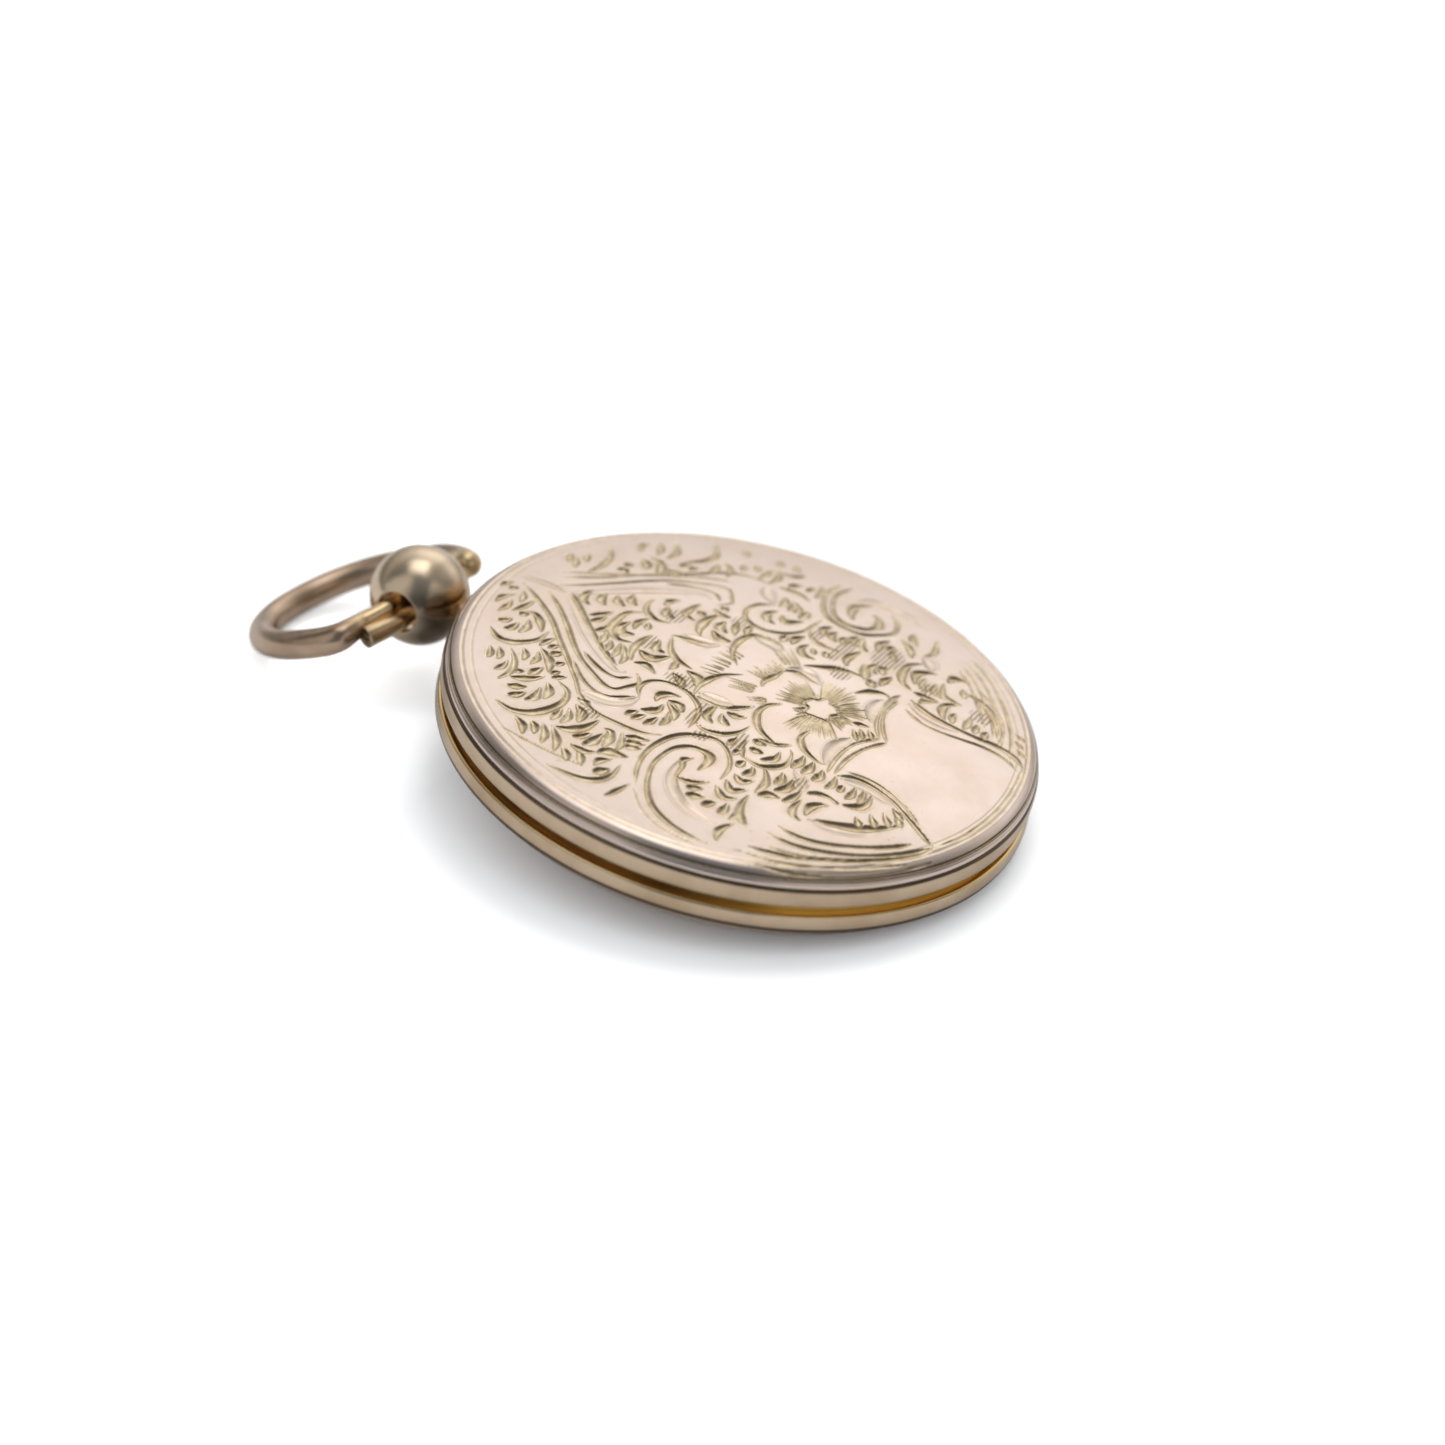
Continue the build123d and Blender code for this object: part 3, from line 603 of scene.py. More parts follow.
def far_commas():
    """Little scrolls and crescents between the flower and the far big scroll."""
    cuts = comma(
        0.36, [(4.35, -1.9), (4.3, -1.2), (4.8, -0.8), (5.6, -0.95)],
        [(4.8, -0.2), (5.5, -0.1), (6.2, -0.4)], [(7.1, -1.15), (7.8, -0.8), (8.5, -1.05)],
        [(7.1, -1.95), (7.5, -1.45), (8.2, -1.5)], [(7.2, -2.55), (7.6, -2.15), (8.1, -2.2)],
        [(7.6, -2.85), (8.2, -2.55), (8.8, -2.6)], [(7.65, -3.8), (7.9, -3.2), (8.4, -3.0), (9.0, -2.9)],
        [(5.2, -3.55), (6.0, -3.2), (7.4, -3.45)], [(5.85, -5.2), (6.1, -4.7), (7.0, -4.7)],
        [(6.1, -5.45), (6.7, -5.15), (7.0, -5.4)], [(4.9, -5.8), (5.6, -5.8), (6.4, -5.95)],
        [(8.2, -4.15), (9.0, -3.9), (10.0, -4.15)], [(8.9, -4.45), (9.5, -4.65)],
        [(8.1, -5.4), (8.6, -4.9), (9.1, -4.9)], [(9.3, -5.85), (10.2, -5.3), (10.8, -4.5)],
        [(4.6, 0.4), (5.5, 0.4)], [(5.1, -2.3), (5.6, -2.0)], [(10.9, -5.5), (11.3, -5.0), (12.0, -4.8)],
    )
    cuts += comma(0.48, [(4.8, -4.9), (5.5, -4.6), (6.3, -4.15)], [(4.5, -5.5), (5.0, -5.2)])
    cuts += comma(0.27, [(6.3, -2.6), (6.1, -1.6), (6.4, -0.7), (7.2, -0.2)], [(4.8, -1.65), (5.4, -1.25)])
    return cuts


def far_big_scroll():
    """Large double-line volute on the far side of the flower."""
    cuts = line(
        0.29,
        [(13.6, 0.85), (12.0, 0.95), (10.5, 0.5), (9.35, -0.3), (9.0, -1.4), (9.2, -2.6), (10.0, -3.4),
         (11.0, -3.9), (12.2, -3.6), (13.0, -2.9)],
        [(13.8, 0.2), (12.2, 0.45), (10.9, 0.1), (9.8, -0.6), (9.5, -1.5), (9.9, -2.5), (10.7, -2.9),
         (11.5, -2.75), (11.95, -2.1)],
    )
    cuts += comma(
        0.4, [(10.3, -1.55), (11.0, -1.1), (12.0, -1.0), (12.9, -1.6)],
        [(10.0, -2.6), (10.8, -2.95), (11.7, -2.6), (12.0, -2.0)],
    )
    cuts += hollow(0.8, [(12.2, -0.8), (13.3, -1.5), (13.6, -3.0), (13.4, -4.6)])
    return cuts


def far_flank():
    """C-scrolls and leaf cuts between the far ribbon and the border."""
    cuts = comma(
        0.3, [(10.2, 4.65), (11.0, 4.5), (12.0, 4.55)],
        [(10.1, 3.95), (11.0, 3.8), (11.8, 4.0), (12.4, 4.6)], [(10.8, 3.0), (11.6, 2.35)],
        [(11.1, 1.9), (11.9, 1.7)], [(10.8, 1.2), (11.8, 1.2), (12.6, 1.6)],
        [(10.3, 3.3), (10.45, 2.0), (10.15, 1.2)], [(12.1, 3.9), (12.2, 3.2), (12.9, 2.8)],
        [(8.6, 7.1), (9.4, 7.0), (10.1, 7.25)], [(8.9, 6.1), (9.8, 6.25), (10.6, 7.0)],
        [(10.4, 5.8), (11.2, 5.95)], [(11.0, 5.1), (11.8, 5.4)], [(8.0, 8.75), (8.8, 8.35)],
        [(8.0, 8.1), (8.7, 7.85)], [(8.6, 8.8), (9.8, 7.9), (11.0, 7.8), (12.5, 8.6)],
        [(8.3, 9.75), (9.4, 9.6), (10.7, 10.3)], [(8.3, 10.35), (9.2, 10.55), (10.0, 11.0)],
        [(8.0, 11.3), (8.7, 11.55), (9.4, 11.4)], [(3.4, 12.45), (4.8, 12.15), (6.2, 12.3), (7.5, 13.0)],
        [(3.6, 13.25), (4.8, 13.75)], [(4.0, 13.9), (5.1, 14.25)], [(4.6, 13.05), (5.7, 13.55)],
        [(5.0, 11.3), (5.3, 10.9), (5.0, 10.5)], [(5.8, 11.2), (6.2, 10.8)], [(12.3, 6.4), (13.0, 6.8)],
        [(12.7, 4.4), (13.5, 4.7)], [(12.9, 3.4), (13.7, 3.7)],
    )
    cuts += comma(
        0.42, [(5.9, 9.15), (6.9, 9.35), (7.6, 9.8), (7.8, 10.6)], [(6.2, 10.05), (6.9, 10.3), (7.2, 10.8)],
        [(6.95, 9.2), (7.1, 8.4), (7.45, 7.7)],
    )
    return cuts


FLOWER = (0.1, -4.4)


def flower():
    """Flower with a plain hub, fans of shading strokes and rounded petals over pointed leaves."""
    hub = []
    for angle in np.arange(0, 361, 15):
        a = math.radians(angle)
        reach = 0.95 + 0.13 * math.sin(5 * a + math.radians(40)) + 0.07 * math.sin(8 * a)
        hub.append((FLOWER[0] + 1.08 * reach * math.cos(a), FLOWER[1] + reach * math.sin(a)))
    cuts = line(0.24, hub)
    fans = ((176, 14, 3.0), (212, 17, 2.9), (262, 20, 1.9), (312, 20, 2.7), (350, 12, 3.0),
            (12, 14, 2.7), (62, 15, 2.6), (98, 20, 2.4), (146, 12, 1.7))
    for angle, spread, reach in fans:
        cuts += rays(FLOWER, np.arange(angle - spread, angle + spread, 5.2), 1.05, reach, 0.15)
    cuts += rays(FLOWER, np.arange(0, 360, 12), 1.0, 1.6, 0.13)
    cuts += rays(FLOWER, np.arange(77, 105, 2.6), 5.8, 6.9, 0.1)
    cuts += rays(FLOWER, np.arange(102, 112, 2.4), 3.8, 5.4, 0.12)
    cuts += rays(FLOWER, np.arange(118, 128, 3), 3.0, 4.0, 0.12)
    cuts += rays(FLOWER, np.arange(59, 88, 3.2), 3.7, 4.7, 0.12)
    cuts += rays(FLOWER, np.arange(44, 58, 3.6), 4.1, 5.9, 0.12)
    petals = [
        [(-1.1, -2.6), (-1.9, -2.0), (-3.0, -1.95), (-4.1, -2.6), (-4.65, -3.6), (-4.7, -4.3), (-4.15, -4.8)],
        [(-2.1, -4.9), (-3.2, -4.8), (-4.0, -5.4), (-4.4, -6.4), (-4.3, -7.0)],
        [(3.0, -5.1), (3.9, -5.7), (4.35, -6.4), (4.1, -7.0)],
        [(3.3, -1.7), (3.9, -2.5), (4.6, -3.4), (4.9, -4.4), (4.9, -5.3)],
        [(-0.5, -0.9), (0.2, -0.78), (1.0, -0.98), (2.0, -1.15)],
        [(1.9, -1.1), (2.4, -1.8), (2.2, -3.1)],
    ]
    cuts += comma(0.3, *petals)
    leaves = [
        [(-3.9, 1.6), (-3.0, 1.75), (-2.1, 1.65), (-1.1, 1.25), (-0.2, 0.4)],
        [(-1.8, 2.8), (-1.5, 3.9), (-0.8, 4.7), (0.6, 5.35)],
        [(0.6, 5.3), (0.85, 4.4), (1.35, 3.1)],
        [(0.4, 1.1), (1.2, 1.8), (2.2, 2.15), (3.4, 2.1), (4.1, 1.7), (4.3, 0.6), (3.8, -0.3)],
        [(-3.95, 1.4), (-3.9, 0.2), (-3.5, -0.6)],
    ]
    cuts += comma(0.3, *leaves)
    cuts += hollow(
        0.9, [(-4.1, -6.8), (-2.6, -6.6), (-1.2, -6.9)], [(1.3, -7.0), (2.4, -6.6), (3.6, -6.6)],
        [(-3.6, 1.3), (-3.6, 0.3), (-3.3, -0.4)], [(0.9, 4.8), (1.0, 3.8), (1.4, 2.9)],
        [(2.3, -1.3), (2.6, -2.2), (2.3, -3.2)], [(3.9, 1.6), (3.9, 0.7), (3.6, 0.0)],
    )
    cuts += comma(
        0.26, [(-1.1, -7.3), (-0.2, -6.6)], [(-0.7, -7.5), (0.1, -6.9)], [(-0.3, -7.9), (0.4, -7.3)],
        [(0.3, -6.3), (0.7, -7.2)],
    )
    return cuts


def border():
    """Two turned lines just inside the shoulder."""
    cuts = []
    for radius, width in ((16.05, 0.2), (15.55, 0.1)):
        a = np.radians(np.arange(0, 361, 2))
        curve = np.stack([radius * np.cos(a), radius * np.sin(a)], -1)
        cuts.append((curve, np.full(len(curve), width / 2), 0.5, 0.5))
    return cuts


def front_cuts():
    """Every cut of the engraved front."""
    passages = (
        ribbons, upper_near_flank, middle_near_flank, near_small_scroll, middle_spray, far_spray,
        near_big_scroll, near_commas, near_lower_leaf, name_plate, sweeping_lines, far_lower_leaf,
        far_small_scroll, far_commas, far_big_scroll, far_flank, flower, border,
    )
    cuts = []
    for passage in passages:
        cuts += passage()
    return cuts


DEEPEST_CUT = 0.12
# Direction across the face away from the camera; cut walls on this side get painted shade.
FAR_WALL = (0.90, 0.44)
HALO_REACH = 3.2
ROUNDING_REACH = 2.2


def cut_depth(xy, cuts):
    """Depth of the cuts at each point in millimetres, how tarnished it is, and the painted shade under their
    far walls.
    """
    depth = np.zeros(len(xy))
    soft = np.zeros(len(xy))
    lip = np.zeros(len(xy))
    tint = np.zeros(len(xy))
    cut_shade = np.zeros(len(xy))
    order = np.argsort(xy[:, 0], kind="stable")
    sorted_x = xy[order, 0]
    for curve, half, steepness, strength in cuts:
        reach = HALO_REACH * half.max() + 0.02
        low = curve.min(0) - reach
        high = curve.max(0) + reach
        first, last = np.searchsorted(sorted_x, [low[0], high[0]])
        near = order[first:last]
        near = near[(xy[near, 1] > low[1]) & (xy[near, 1] < high[1])]
        if len(near) == 0:
            continue
        for block in np.array_split(near, max(1, len(near) * len(curve) // 3_000_000)):
            share, width, toward = nearest_share(xy[block], curve, half)
            wall = np.minimum(steepness * width, DEEPEST_CUT) * np.clip(1 - share**2, 0, None)
            depth[block] = np.maximum(depth[block], wall)
            rounding = np.clip(1 - share / ROUNDING_REACH, 0, None) ** 2
            soft[block] = np.maximum(soft[block], 0.1 * steepness * width * rounding)
            lip[block] = np.maximum(lip[block], 0.09 * width * np.clip(1 - np.abs(share - 1.15) * 4, 0, None))
            halo = 0.36 * np.clip((HALO_REACH - share) / (HALO_REACH - 1), 0, 1)
            tint[block] = np.maximum(tint[block], strength * np.clip((1.08 - share) * 3.5, halo, 1))
            # Painted shade: the far half of each cut, whose wall faces the camera, is darkened in colour,
            # more so in narrow cuts.
            shade = np.clip((share * toward - 0.15) / 0.4, 0, 1) * np.clip((1.12 - share) * 6, 0, 1)
            narrow = np.clip(1.25 - width, 0.5, 1) * strength
            cut_shade[block] = np.maximum(cut_shade[block], shade * narrow)
    return depth + soft - lip * (depth == 0), tint, cut_shade


def nearest_share(points, curve, half):
    """Distance to the nearest part of a cut in half-widths, that half-width, and how far it is beyond."""
    start = curve[:-1]
    step = curve[1:] - start
    t = ((points[:, None] - start) * step).sum(-1) / np.maximum((step**2).sum(-1), 1e-12)
    t = np.clip(t, 0, 1)
    offset = points[:, None] - (start + t[..., None] * step)
    distance = np.linalg.norm(offset, axis=-1)
    width = half[:-1] + t * (half[1:] - half[:-1])
    share = distance / width
    best = np.argmin(share, 1)
    rows = np.arange(len(points))
    away = offset[rows, best] @ np.array(FAR_WALL) / np.maximum(distance[rows, best], 1e-9)
    return share[rows, best], width[rows, best], away


HATCHED = (
    (-5.3, 0.6, 1.6, 0.5), (-7.0, -0.5, 0.5, 0.6), (-6.0, -2.4, 1.2, 0.5), (2.5, 6.1, 1.0, 0.8),
     (6.8, -2.6, 2.3, 0.6),
    (4.2, -3.6, 0.9, 0.8), (8.0, -4.9, 1.7, 1.2), (7.0, -11.4, 0.8, 0.9), (4.6, 3.1, 0.9, 0.5),
     (-3.2, 2.8, 0.8, 1.2),
    (-9.2, 5.2, 0.5, 0.8), (6.9, -0.8, 0.7, 0.5), (-6.9, -6.6, 0.8, 0.6), (-1.0, 5.9, 1.0, 0.5),
     (7.0, -8.0, 0.8, 0.8),
)


def hatch_mask(xy):
    """Soft patches of ground where the engraver left fine parallel lines."""
    mask = np.zeros(len(xy))
    for x, y, wide, tall in HATCHED:
        inside = 1 - np.hypot((xy[:, 0] - x) / wide, (xy[:, 1] - y) / tall)
        mask = np.maximum(mask, np.clip(inside * 3, 0, 1))
    return mask


# ---------------------------------------------------------------- materials

def new_material(name):
    """An empty node material with one Principled shader."""
    material = bpy.data.materials.new(name)
    material.use_nodes = True
    nodes = material.node_tree.nodes
    nodes.clear()
    output = nodes.new("ShaderNodeOutputMaterial")
    shader = nodes.new("ShaderNodeBsdfPrincipled")
    material.node_tree.links.new(shader.outputs[0], output.inputs["Surface"])
    return material, nodes, material.node_tree.links, shader


def noise(nodes, links, scale, detail, roughness=0.55, stretch=(1, 1, 1)):
    """A noise texture on object coordinates; scale counts features in one metre."""
    place = nodes.new("ShaderNodeTexCoord")
    mapping = nodes.new("ShaderNodeMapping")
    mapping.inputs["Scale"].default_value = stretch
    texture = nodes.new("ShaderNodeTexNoise")
    texture.inputs["Scale"].default_value = scale
    texture.inputs["Detail"].default_value = detail
    texture.inputs["Roughness"].default_value = roughness
    links.new(place.outputs["Object"], mapping.inputs["Vector"])
    links.new(mapping.outputs[0], texture.inputs["Vector"])
    return texture.outputs["Fac"]


def ramp(nodes, links, value, *stops):
    """Colour or grey ramp through (position, colour) stops."""
    node = nodes.new("ShaderNodeValToRGB")
    elements = node.color_ramp.elements
    while len(elements) < len(stops):
        elements.new(0.5)
    for element, (position, colour) in zip(elements, stops):
        element.position = position
        element.color = (*colour, 1) if len(colour) == 3 else colour
    links.new(value, node.inputs[0])
    return node.outputs[0]


def grey(level):
    """A neutral colour."""
    return (level, level, level)


def grey_ramp(nodes, links, value, whole, *stops):
    """Grey ramp whose stops are written as shares of a whole, such as 180 degrees."""
    return ramp(nodes, links, value, *((position / whole, grey(level)) for position, level in stops))


def mix_colour(nodes, links, share, a, b, kind="MIX"):
    """Blend of two colours; each of share, a and b is a plain value or another node's output."""
    node = nodes.new("ShaderNodeMix")
    node.data_type = "RGBA"
    node.blend_type = kind
    for socket, value in ((0, share), (6, a), (7, b)):
        if isinstance(value, (int, float)):
            node.inputs[socket].default_value = value
        elif isinstance(value, tuple):
            node.inputs[socket].default_value = (*value, 1)
        else:
            links.new(value, node.inputs[socket])
    return node.outputs[2]


def bump(nodes, links, height, distance, strength=1.0, below=None):
    """Surface relief from a height, laid over another relief if one is given."""
    node = nodes.new("ShaderNodeBump")
    node.inputs["Distance"].default_value = distance
    node.inputs["Strength"].default_value = strength
    links.new(height, node.inputs["Height"])
    if below is not None:
        links.new(below, node.inputs["Normal"])
    return node.outputs[0]


def math_node(nodes, links, operation, *values):
    """One arithmetic step on plain values or other nodes' outputs."""
    node = nodes.new("ShaderNodeMath")
    node.operation = operation
    for socket, value in zip(node.inputs, values):
        if isinstance(value, (int, float)):
            socket.default_value = value
        else:
            links.new(value, socket)
    return node.outputs[0]


def clamped(nodes, links, value, most=1.0):
    """A value held between zero and most."""
    return math_node(nodes, links, "MINIMUM", math_node(nodes, links, "MAXIMUM", value, 0.0), most)


def stepped(nodes, links, value, start, end):
    """Straight rise from 0 where value is start to 1 where value is end, unclamped."""
    return math_node(nodes, links, "MULTIPLY_ADD", value, 1 / (end - start), -start / (end - start))


def attribute(nodes, name):
    """A value stored on the points of the mesh."""
    node = nodes.new("ShaderNodeAttribute")
    node.attribute_name = name
    return node.outputs["Fac"]


def opened(material):
    """Nodes, links and shader of a material that is to be built on, and its colour so far."""
    nodes = material.node_tree.nodes
    shader = next(n for n in nodes if n.type == "BSDF_PRINCIPLED")
    return nodes, material.node_tree.links, shader, shader.inputs["Base Color"].links[0].from_socket


def worn_gold(name, fresh, aged, roughness, scratch=0.5):
    """Polished gold plate with uneven tarnish, soft handling marks and fine scratches."""
    material, nodes, links, shader = new_material(name)
    cloud = noise(nodes, links, 260, 4)
    tint = mix_colour(nodes, links, ramp(nodes, links, cloud, (0.42, grey(0)), (0.75, grey(1))), fresh, aged)
    speck = noise(nodes, links, 2600, 2, 0.7)
    spots = ramp(nodes, links, speck, (0.68, grey(0)), (0.78, grey(0.35)))
    tint = mix_colour(nodes, links, spots, tint, tuple(0.45 * c for c in aged))
    links.new(tint, shader.inputs["Base Color"])
    shader.inputs["Metallic"].default_value = 1
    handled = noise(nodes, links, 420, 5)
    links.new(
        ramp(nodes, links, handled, (0.3, grey(roughness * 0.75)), (0.7, grey(roughness * 1.35))),
        shader.inputs["Roughness"],
    )
    dents = bump(nodes, links, noise(nodes, links, 300, 3), 0.03 * MM, 0.5)
    hair = noise(nodes, links, 900, 3, 0.6, (1, 9, 3))
    links.new(bump(nodes, links, hair, 0.006 * MM, scratch, dents), shader.inputs["Normal"])
    return material


OLIVE = (0.60, 0.46, 0.24)
PALE_OLIVE = (0.95, 0.78, 0.50)
# Colour of the painted shade on the cuts' far walls and in the turned line.
CUT_SHADE = (0.15, 0.095, 0.045)
HATCH_LINE = (0.34, 0.25, 0.13)
HATCH_SPACING = 0.24 * MM
WAVE_TURN = math.pi / 10      # a wave texture of scale 1 repeats after this length


def engraved_gold(name, fresh, aged, roughness):
    """Plate gold whose cuts are olive and dull, with painted shade under their far walls, and hatched ground.
    """
    material = worn_gold(name, fresh, aged, roughness, 0.6)
    nodes, links, shader, plain = opened(material)
    polish = shader.inputs["Roughness"].links[0].from_socket
    cut = attribute(nodes, "cut")
    olive = ramp(nodes, links, noise(nodes, links, 1500, 4), (0.35, OLIVE), (0.65, PALE_OLIVE))
    # The stored shade values paint the far walls of the cuts and the turned line dark.
    dark = ramp(nodes, links, attribute(nodes, "cut_shade"), (0.1, grey(0)), (0.9, grey(0.9)))
    ground = mix_colour(nodes, links, dark, mix_colour(nodes, links, cut, plain, olive), CUT_SHADE)
    links.new(mix_colour(nodes, links, cut, polish, grey(0.27)), shader.inputs["Roughness"])
    place = nodes.new("ShaderNodeTexCoord")
    wave = nodes.new("ShaderNodeTexWave")
    wave.bands_direction = "Y"
    wave.inputs["Scale"].default_value = WAVE_TURN / HATCH_SPACING
    wave.inputs["Distortion"].default_value = 1.2
    wave.inputs["Detail"].default_value = 1
    links.new(place.outputs["Object"], wave.inputs["Vector"])
    lines = mix_colour(nodes, links, 1.0, wave.outputs["Color"], attribute(nodes, "hatch"), "MULTIPLY")
    below = shader.inputs["Normal"].links[0].from_socket
    links.new(bump(nodes, links, lines, 0.02 * MM, 1.0, below), shader.inputs["Normal"])
    graver_lines = ramp(nodes, links, lines, (0.35, grey(0)), (0.8, grey(0.7)))
    links.new(mix_colour(nodes, links, graver_lines, ground, HATCH_LINE), shader.inputs["Base Color"])
    return material


def seam_gold(name, fresh, aged, roughness):
    """Worn gold with a painted yellow glint on the joint faces and a painted shade line where the band meets
    its plate.
    """
    material = worn_gold(name, fresh, aged, roughness)
    nodes, links, shader, plain = opened(material)
    place = nodes.new("ShaderNodeTexCoord")
    split = nodes.new("ShaderNodeSeparateXYZ")
    links.new(place.outputs["Object"], split.inputs[0])
    height = math_node(nodes, links, "SUBTRACT", split.outputs[2], JOINT_Z)
    below = math_node(nodes, links, "MULTIPLY", height, -1.0)
    away = math_node(nodes, links, "ABSOLUTE", height)
    # Painted glint: the faces at the joint are tinted bright yellow.
    yellow = clamped(nodes, links, stepped(nodes, links, away, SEAM_HALF + 0.14 * MM, SEAM_HALF))
    tint = mix_colour(nodes, links, yellow, plain, (0.95, 0.72, 0.36))
    # Painted shade: a dark line along the outer edge of each band where it meets its plate, wider on the back
    # band.
    reach = RIM_TOP - JOINT_Z
    upper = stepped(nodes, links, away, reach - 0.17 * MM, reach - 0.10 * MM)
    lower = stepped(nodes, links, below, reach - 0.36 * MM, reach - 0.29 * MM)
    joint_shade = clamped(nodes, links, math_node(nodes, links, "MAXIMUM", upper, lower), 0.9)
    links.new(mix_colour(nodes, links, joint_shade, tint, (0.10, 0.07, 0.045)), shader.inputs["Base Color"])
    return material


def add_spots(material, spots):
    """Lays soft round patches over a material: centre, full reach, outer reach, colour and strength."""
    nodes, links, shader, tint = opened(material)
    place = nodes.new("ShaderNodeTexCoord")
    for centre, near, far, colour, most in spots:
        apart = nodes.new("ShaderNodeVectorMath")
        apart.operation = "DISTANCE"
        apart.inputs[1].default_value = tuple(centre)
        links.new(place.outputs["Object"], apart.inputs[0])
        share = clamped(nodes, links, stepped(nodes, links, apart.outputs["Value"], far, near), most)
        tint = mix_colour(nodes, links, share, tint, colour)
    links.new(tint, shader.inputs["Base Color"])
    return material


def wire_gold(name, fresh, aged, roughness):
    """Drawn wire: rubbed yellow where it works in the ball, dark at the snipped end, with painted shade in
    the gap under it.
    """
    tail = in_place(tail_path())[0][-1]
    under = in_place(np.array([[-4.85, 1.25, -0.5, 0]]))[0][0]
    spots = (
        (BALL_CENTRE, 4.0 * MM, 6.2 * MM, (0.92, 0.68, 0.38), 0.8),
        # Painted shade in the gap between the thick wire's end and the tail.
        (under, 0.45 * MM, 0.95 * MM, (0.09, 0.065, 0.045), 0.9),
        (tail, 0.42 * MM, 0.7 * MM, (0.28, 0.20, 0.11), 0.8),
    )
    return add_spots(worn_gold(name, fresh, aged, roughness, 0.8), spots)


def ball_gold(name, fresh, aged, roughness):
    """Pendant gold: bright where it is handled, with painted shade towards the neck and a painted dark
    reflection in the middle, where it faces the camera.
    """
    shade_towards_neck = BALL_CENTRE + BALL_RADIUS * Vector((-0.62, -0.72, -0.3))
    middle = BALL_CENTRE + BALL_RADIUS * Vector((-0.86, -0.42, 0.28))
    beside = BALL_CENTRE + BALL_RADIUS * Vector((-0.6, -0.72, 0.34))
    spots = (
        # Painted dark reflection on the side facing the camera, and painted shade towards the neck beside the
        # body.
        (middle, 0.2 * MM, 1.5 * MM, (0.20, 0.15, 0.11), 0.75),
        (beside, 0.1 * MM, 1.3 * MM, (0.12, 0.10, 0.085), 0.7),
        (shade_towards_neck, 0.5 * MM, 1.9 * MM, (0.09, 0.07, 0.05), 0.85),
    )
    return add_spots(worn_gold(name, fresh, aged, roughness, 0.7), spots)


def shaded_flange_gold(name, fresh, aged, roughness):
    """Closing flange: dark brown as painted shade deep in the gap, with a painted yellow sheen towards the
    end away from the bow.
    """
    material = worn_gold(name, fresh, aged, roughness)
    # Painted yellow sheen on the end of the flange away from the bow.
    sheen_far_end = Vector((-0.45, -0.9, 0)) * FLANGE_HIGH.x + Vector((0, 0, JOINT_Z))
    return add_spots(material, ((sheen_far_end, 7 * MM, 14 * MM, (0.80, 0.55, 0.20), 0.9),))


def card_paper():
    """Aged picture card: fibres and foxing."""
    material, nodes, links, shader = new_material("card_paper")
    fibre = noise(nodes, links, 2200, 6, 0.7, (1, 3, 1))
    tone = ramp(nodes, links, fibre, (0.3, (0.52, 0.42, 0.28)), (0.7, (0.70, 0.60, 0.44)))
    fox = ramp(nodes, links, noise(nodes, links, 380, 3, 0.6), (0.6, grey(0)), (0.72, grey(0.55)))
    links.new(mix_colour(nodes, links, fox, tone, (0.36, 0.22, 0.1)), shader.inputs["Base Color"])
    shader.inputs["Roughness"].default_value = 0.85
    links.new(bump(nodes, links, fibre, 0.02 * MM, 0.6), shader.inputs["Normal"])
    return material


def clear_glazing():
    """Thin clear cover with faint scratches: more of a mirror the flatter it is seen, clear otherwise."""
    material, nodes, links, shader = new_material("clear_glazing")
    shader.inputs["Metallic"].default_value = 1
    smear = noise(nodes, links, 500, 4)
    yellowed = ramp(nodes, links, smear, (0.3, (0.98, 0.96, 0.88)), (0.7, (0.95, 0.91, 0.80)))
    links.new(yellowed, shader.inputs["Base Color"])
    links.new(ramp(nodes, links, smear, (0.4, grey(0.04)), (0.8, grey(0.16))), shader.inputs["Roughness"])
    hair = noise(nodes, links, 1200, 2, 0.5, (1, 12, 1))
    links.new(bump(nodes, links, hair, 0.004 * MM, 0.3), shader.inputs["Normal"])
    weight = nodes.new("ShaderNodeLayerWeight")
    weight.inputs["Blend"].default_value = 0.5
    facing = weight.outputs["Facing"]
    mirror = grey_ramp(nodes, links, facing, 1, (0.3, 0.045), (0.65, 0.1), (0.85, 0.3), (1.0, 0.9))
    links.new(mirror, shader.inputs["Alpha"])
    return material


# ---------------------------------------------------------------- pieces

def face_height(plate, radius):
    """Height of the shallow dome above the row origin."""
    return plate.crown - (plate.sphere - np.sqrt(plate.sphere**2 - radius**2))


def dome_profile(plate, spacing, turned_line):
    """Outer half of a plate: crown, shoulder and skirt, from the axis outwards."""
    slope = math.asin(plate.skirt / plate.sphere)
    start = plate.skirt - plate.shoulder * (1 - math.sin(slope))
    radii = np.arange(spacing, start - spacing / 2, spacing)
    face = np.stack([radii, face_height(plate, radii)], -1)
    centre = (plate.skirt - plate.shoulder, face_height(plate, start) - plate.shoulder * math.cos(slope))
    if turned_line:
        groove = 0.07 * MM
        upper = arc(centre, plate.shoulder, 90 - math.degrees(slope), 34, 12)
        lip = arc(centre, plate.shoulder, 32.5, 31.5, 2)
        floor = arc(centre, plate.shoulder - groove, 30.5, 28, 3)
        below = [plate.skirt - 0.075 * MM, centre[1] + 0.42 * MM]
        foot = [plate.skirt, plate.edge + 0.15 * MM]
        shoulder = np.vstack([upper, lip, floor, [below, foot]])
    else:
        shoulder = arc(centre, plate.shoulder, 90 - math.degrees(slope), 0, 14)
    round_edge = arc((plate.skirt - 0.12 * MM, plate.edge + 0.12 * MM), 0.12 * MM, 0, -90, 5)
    return np.vstack([face, shoulder, round_edge])


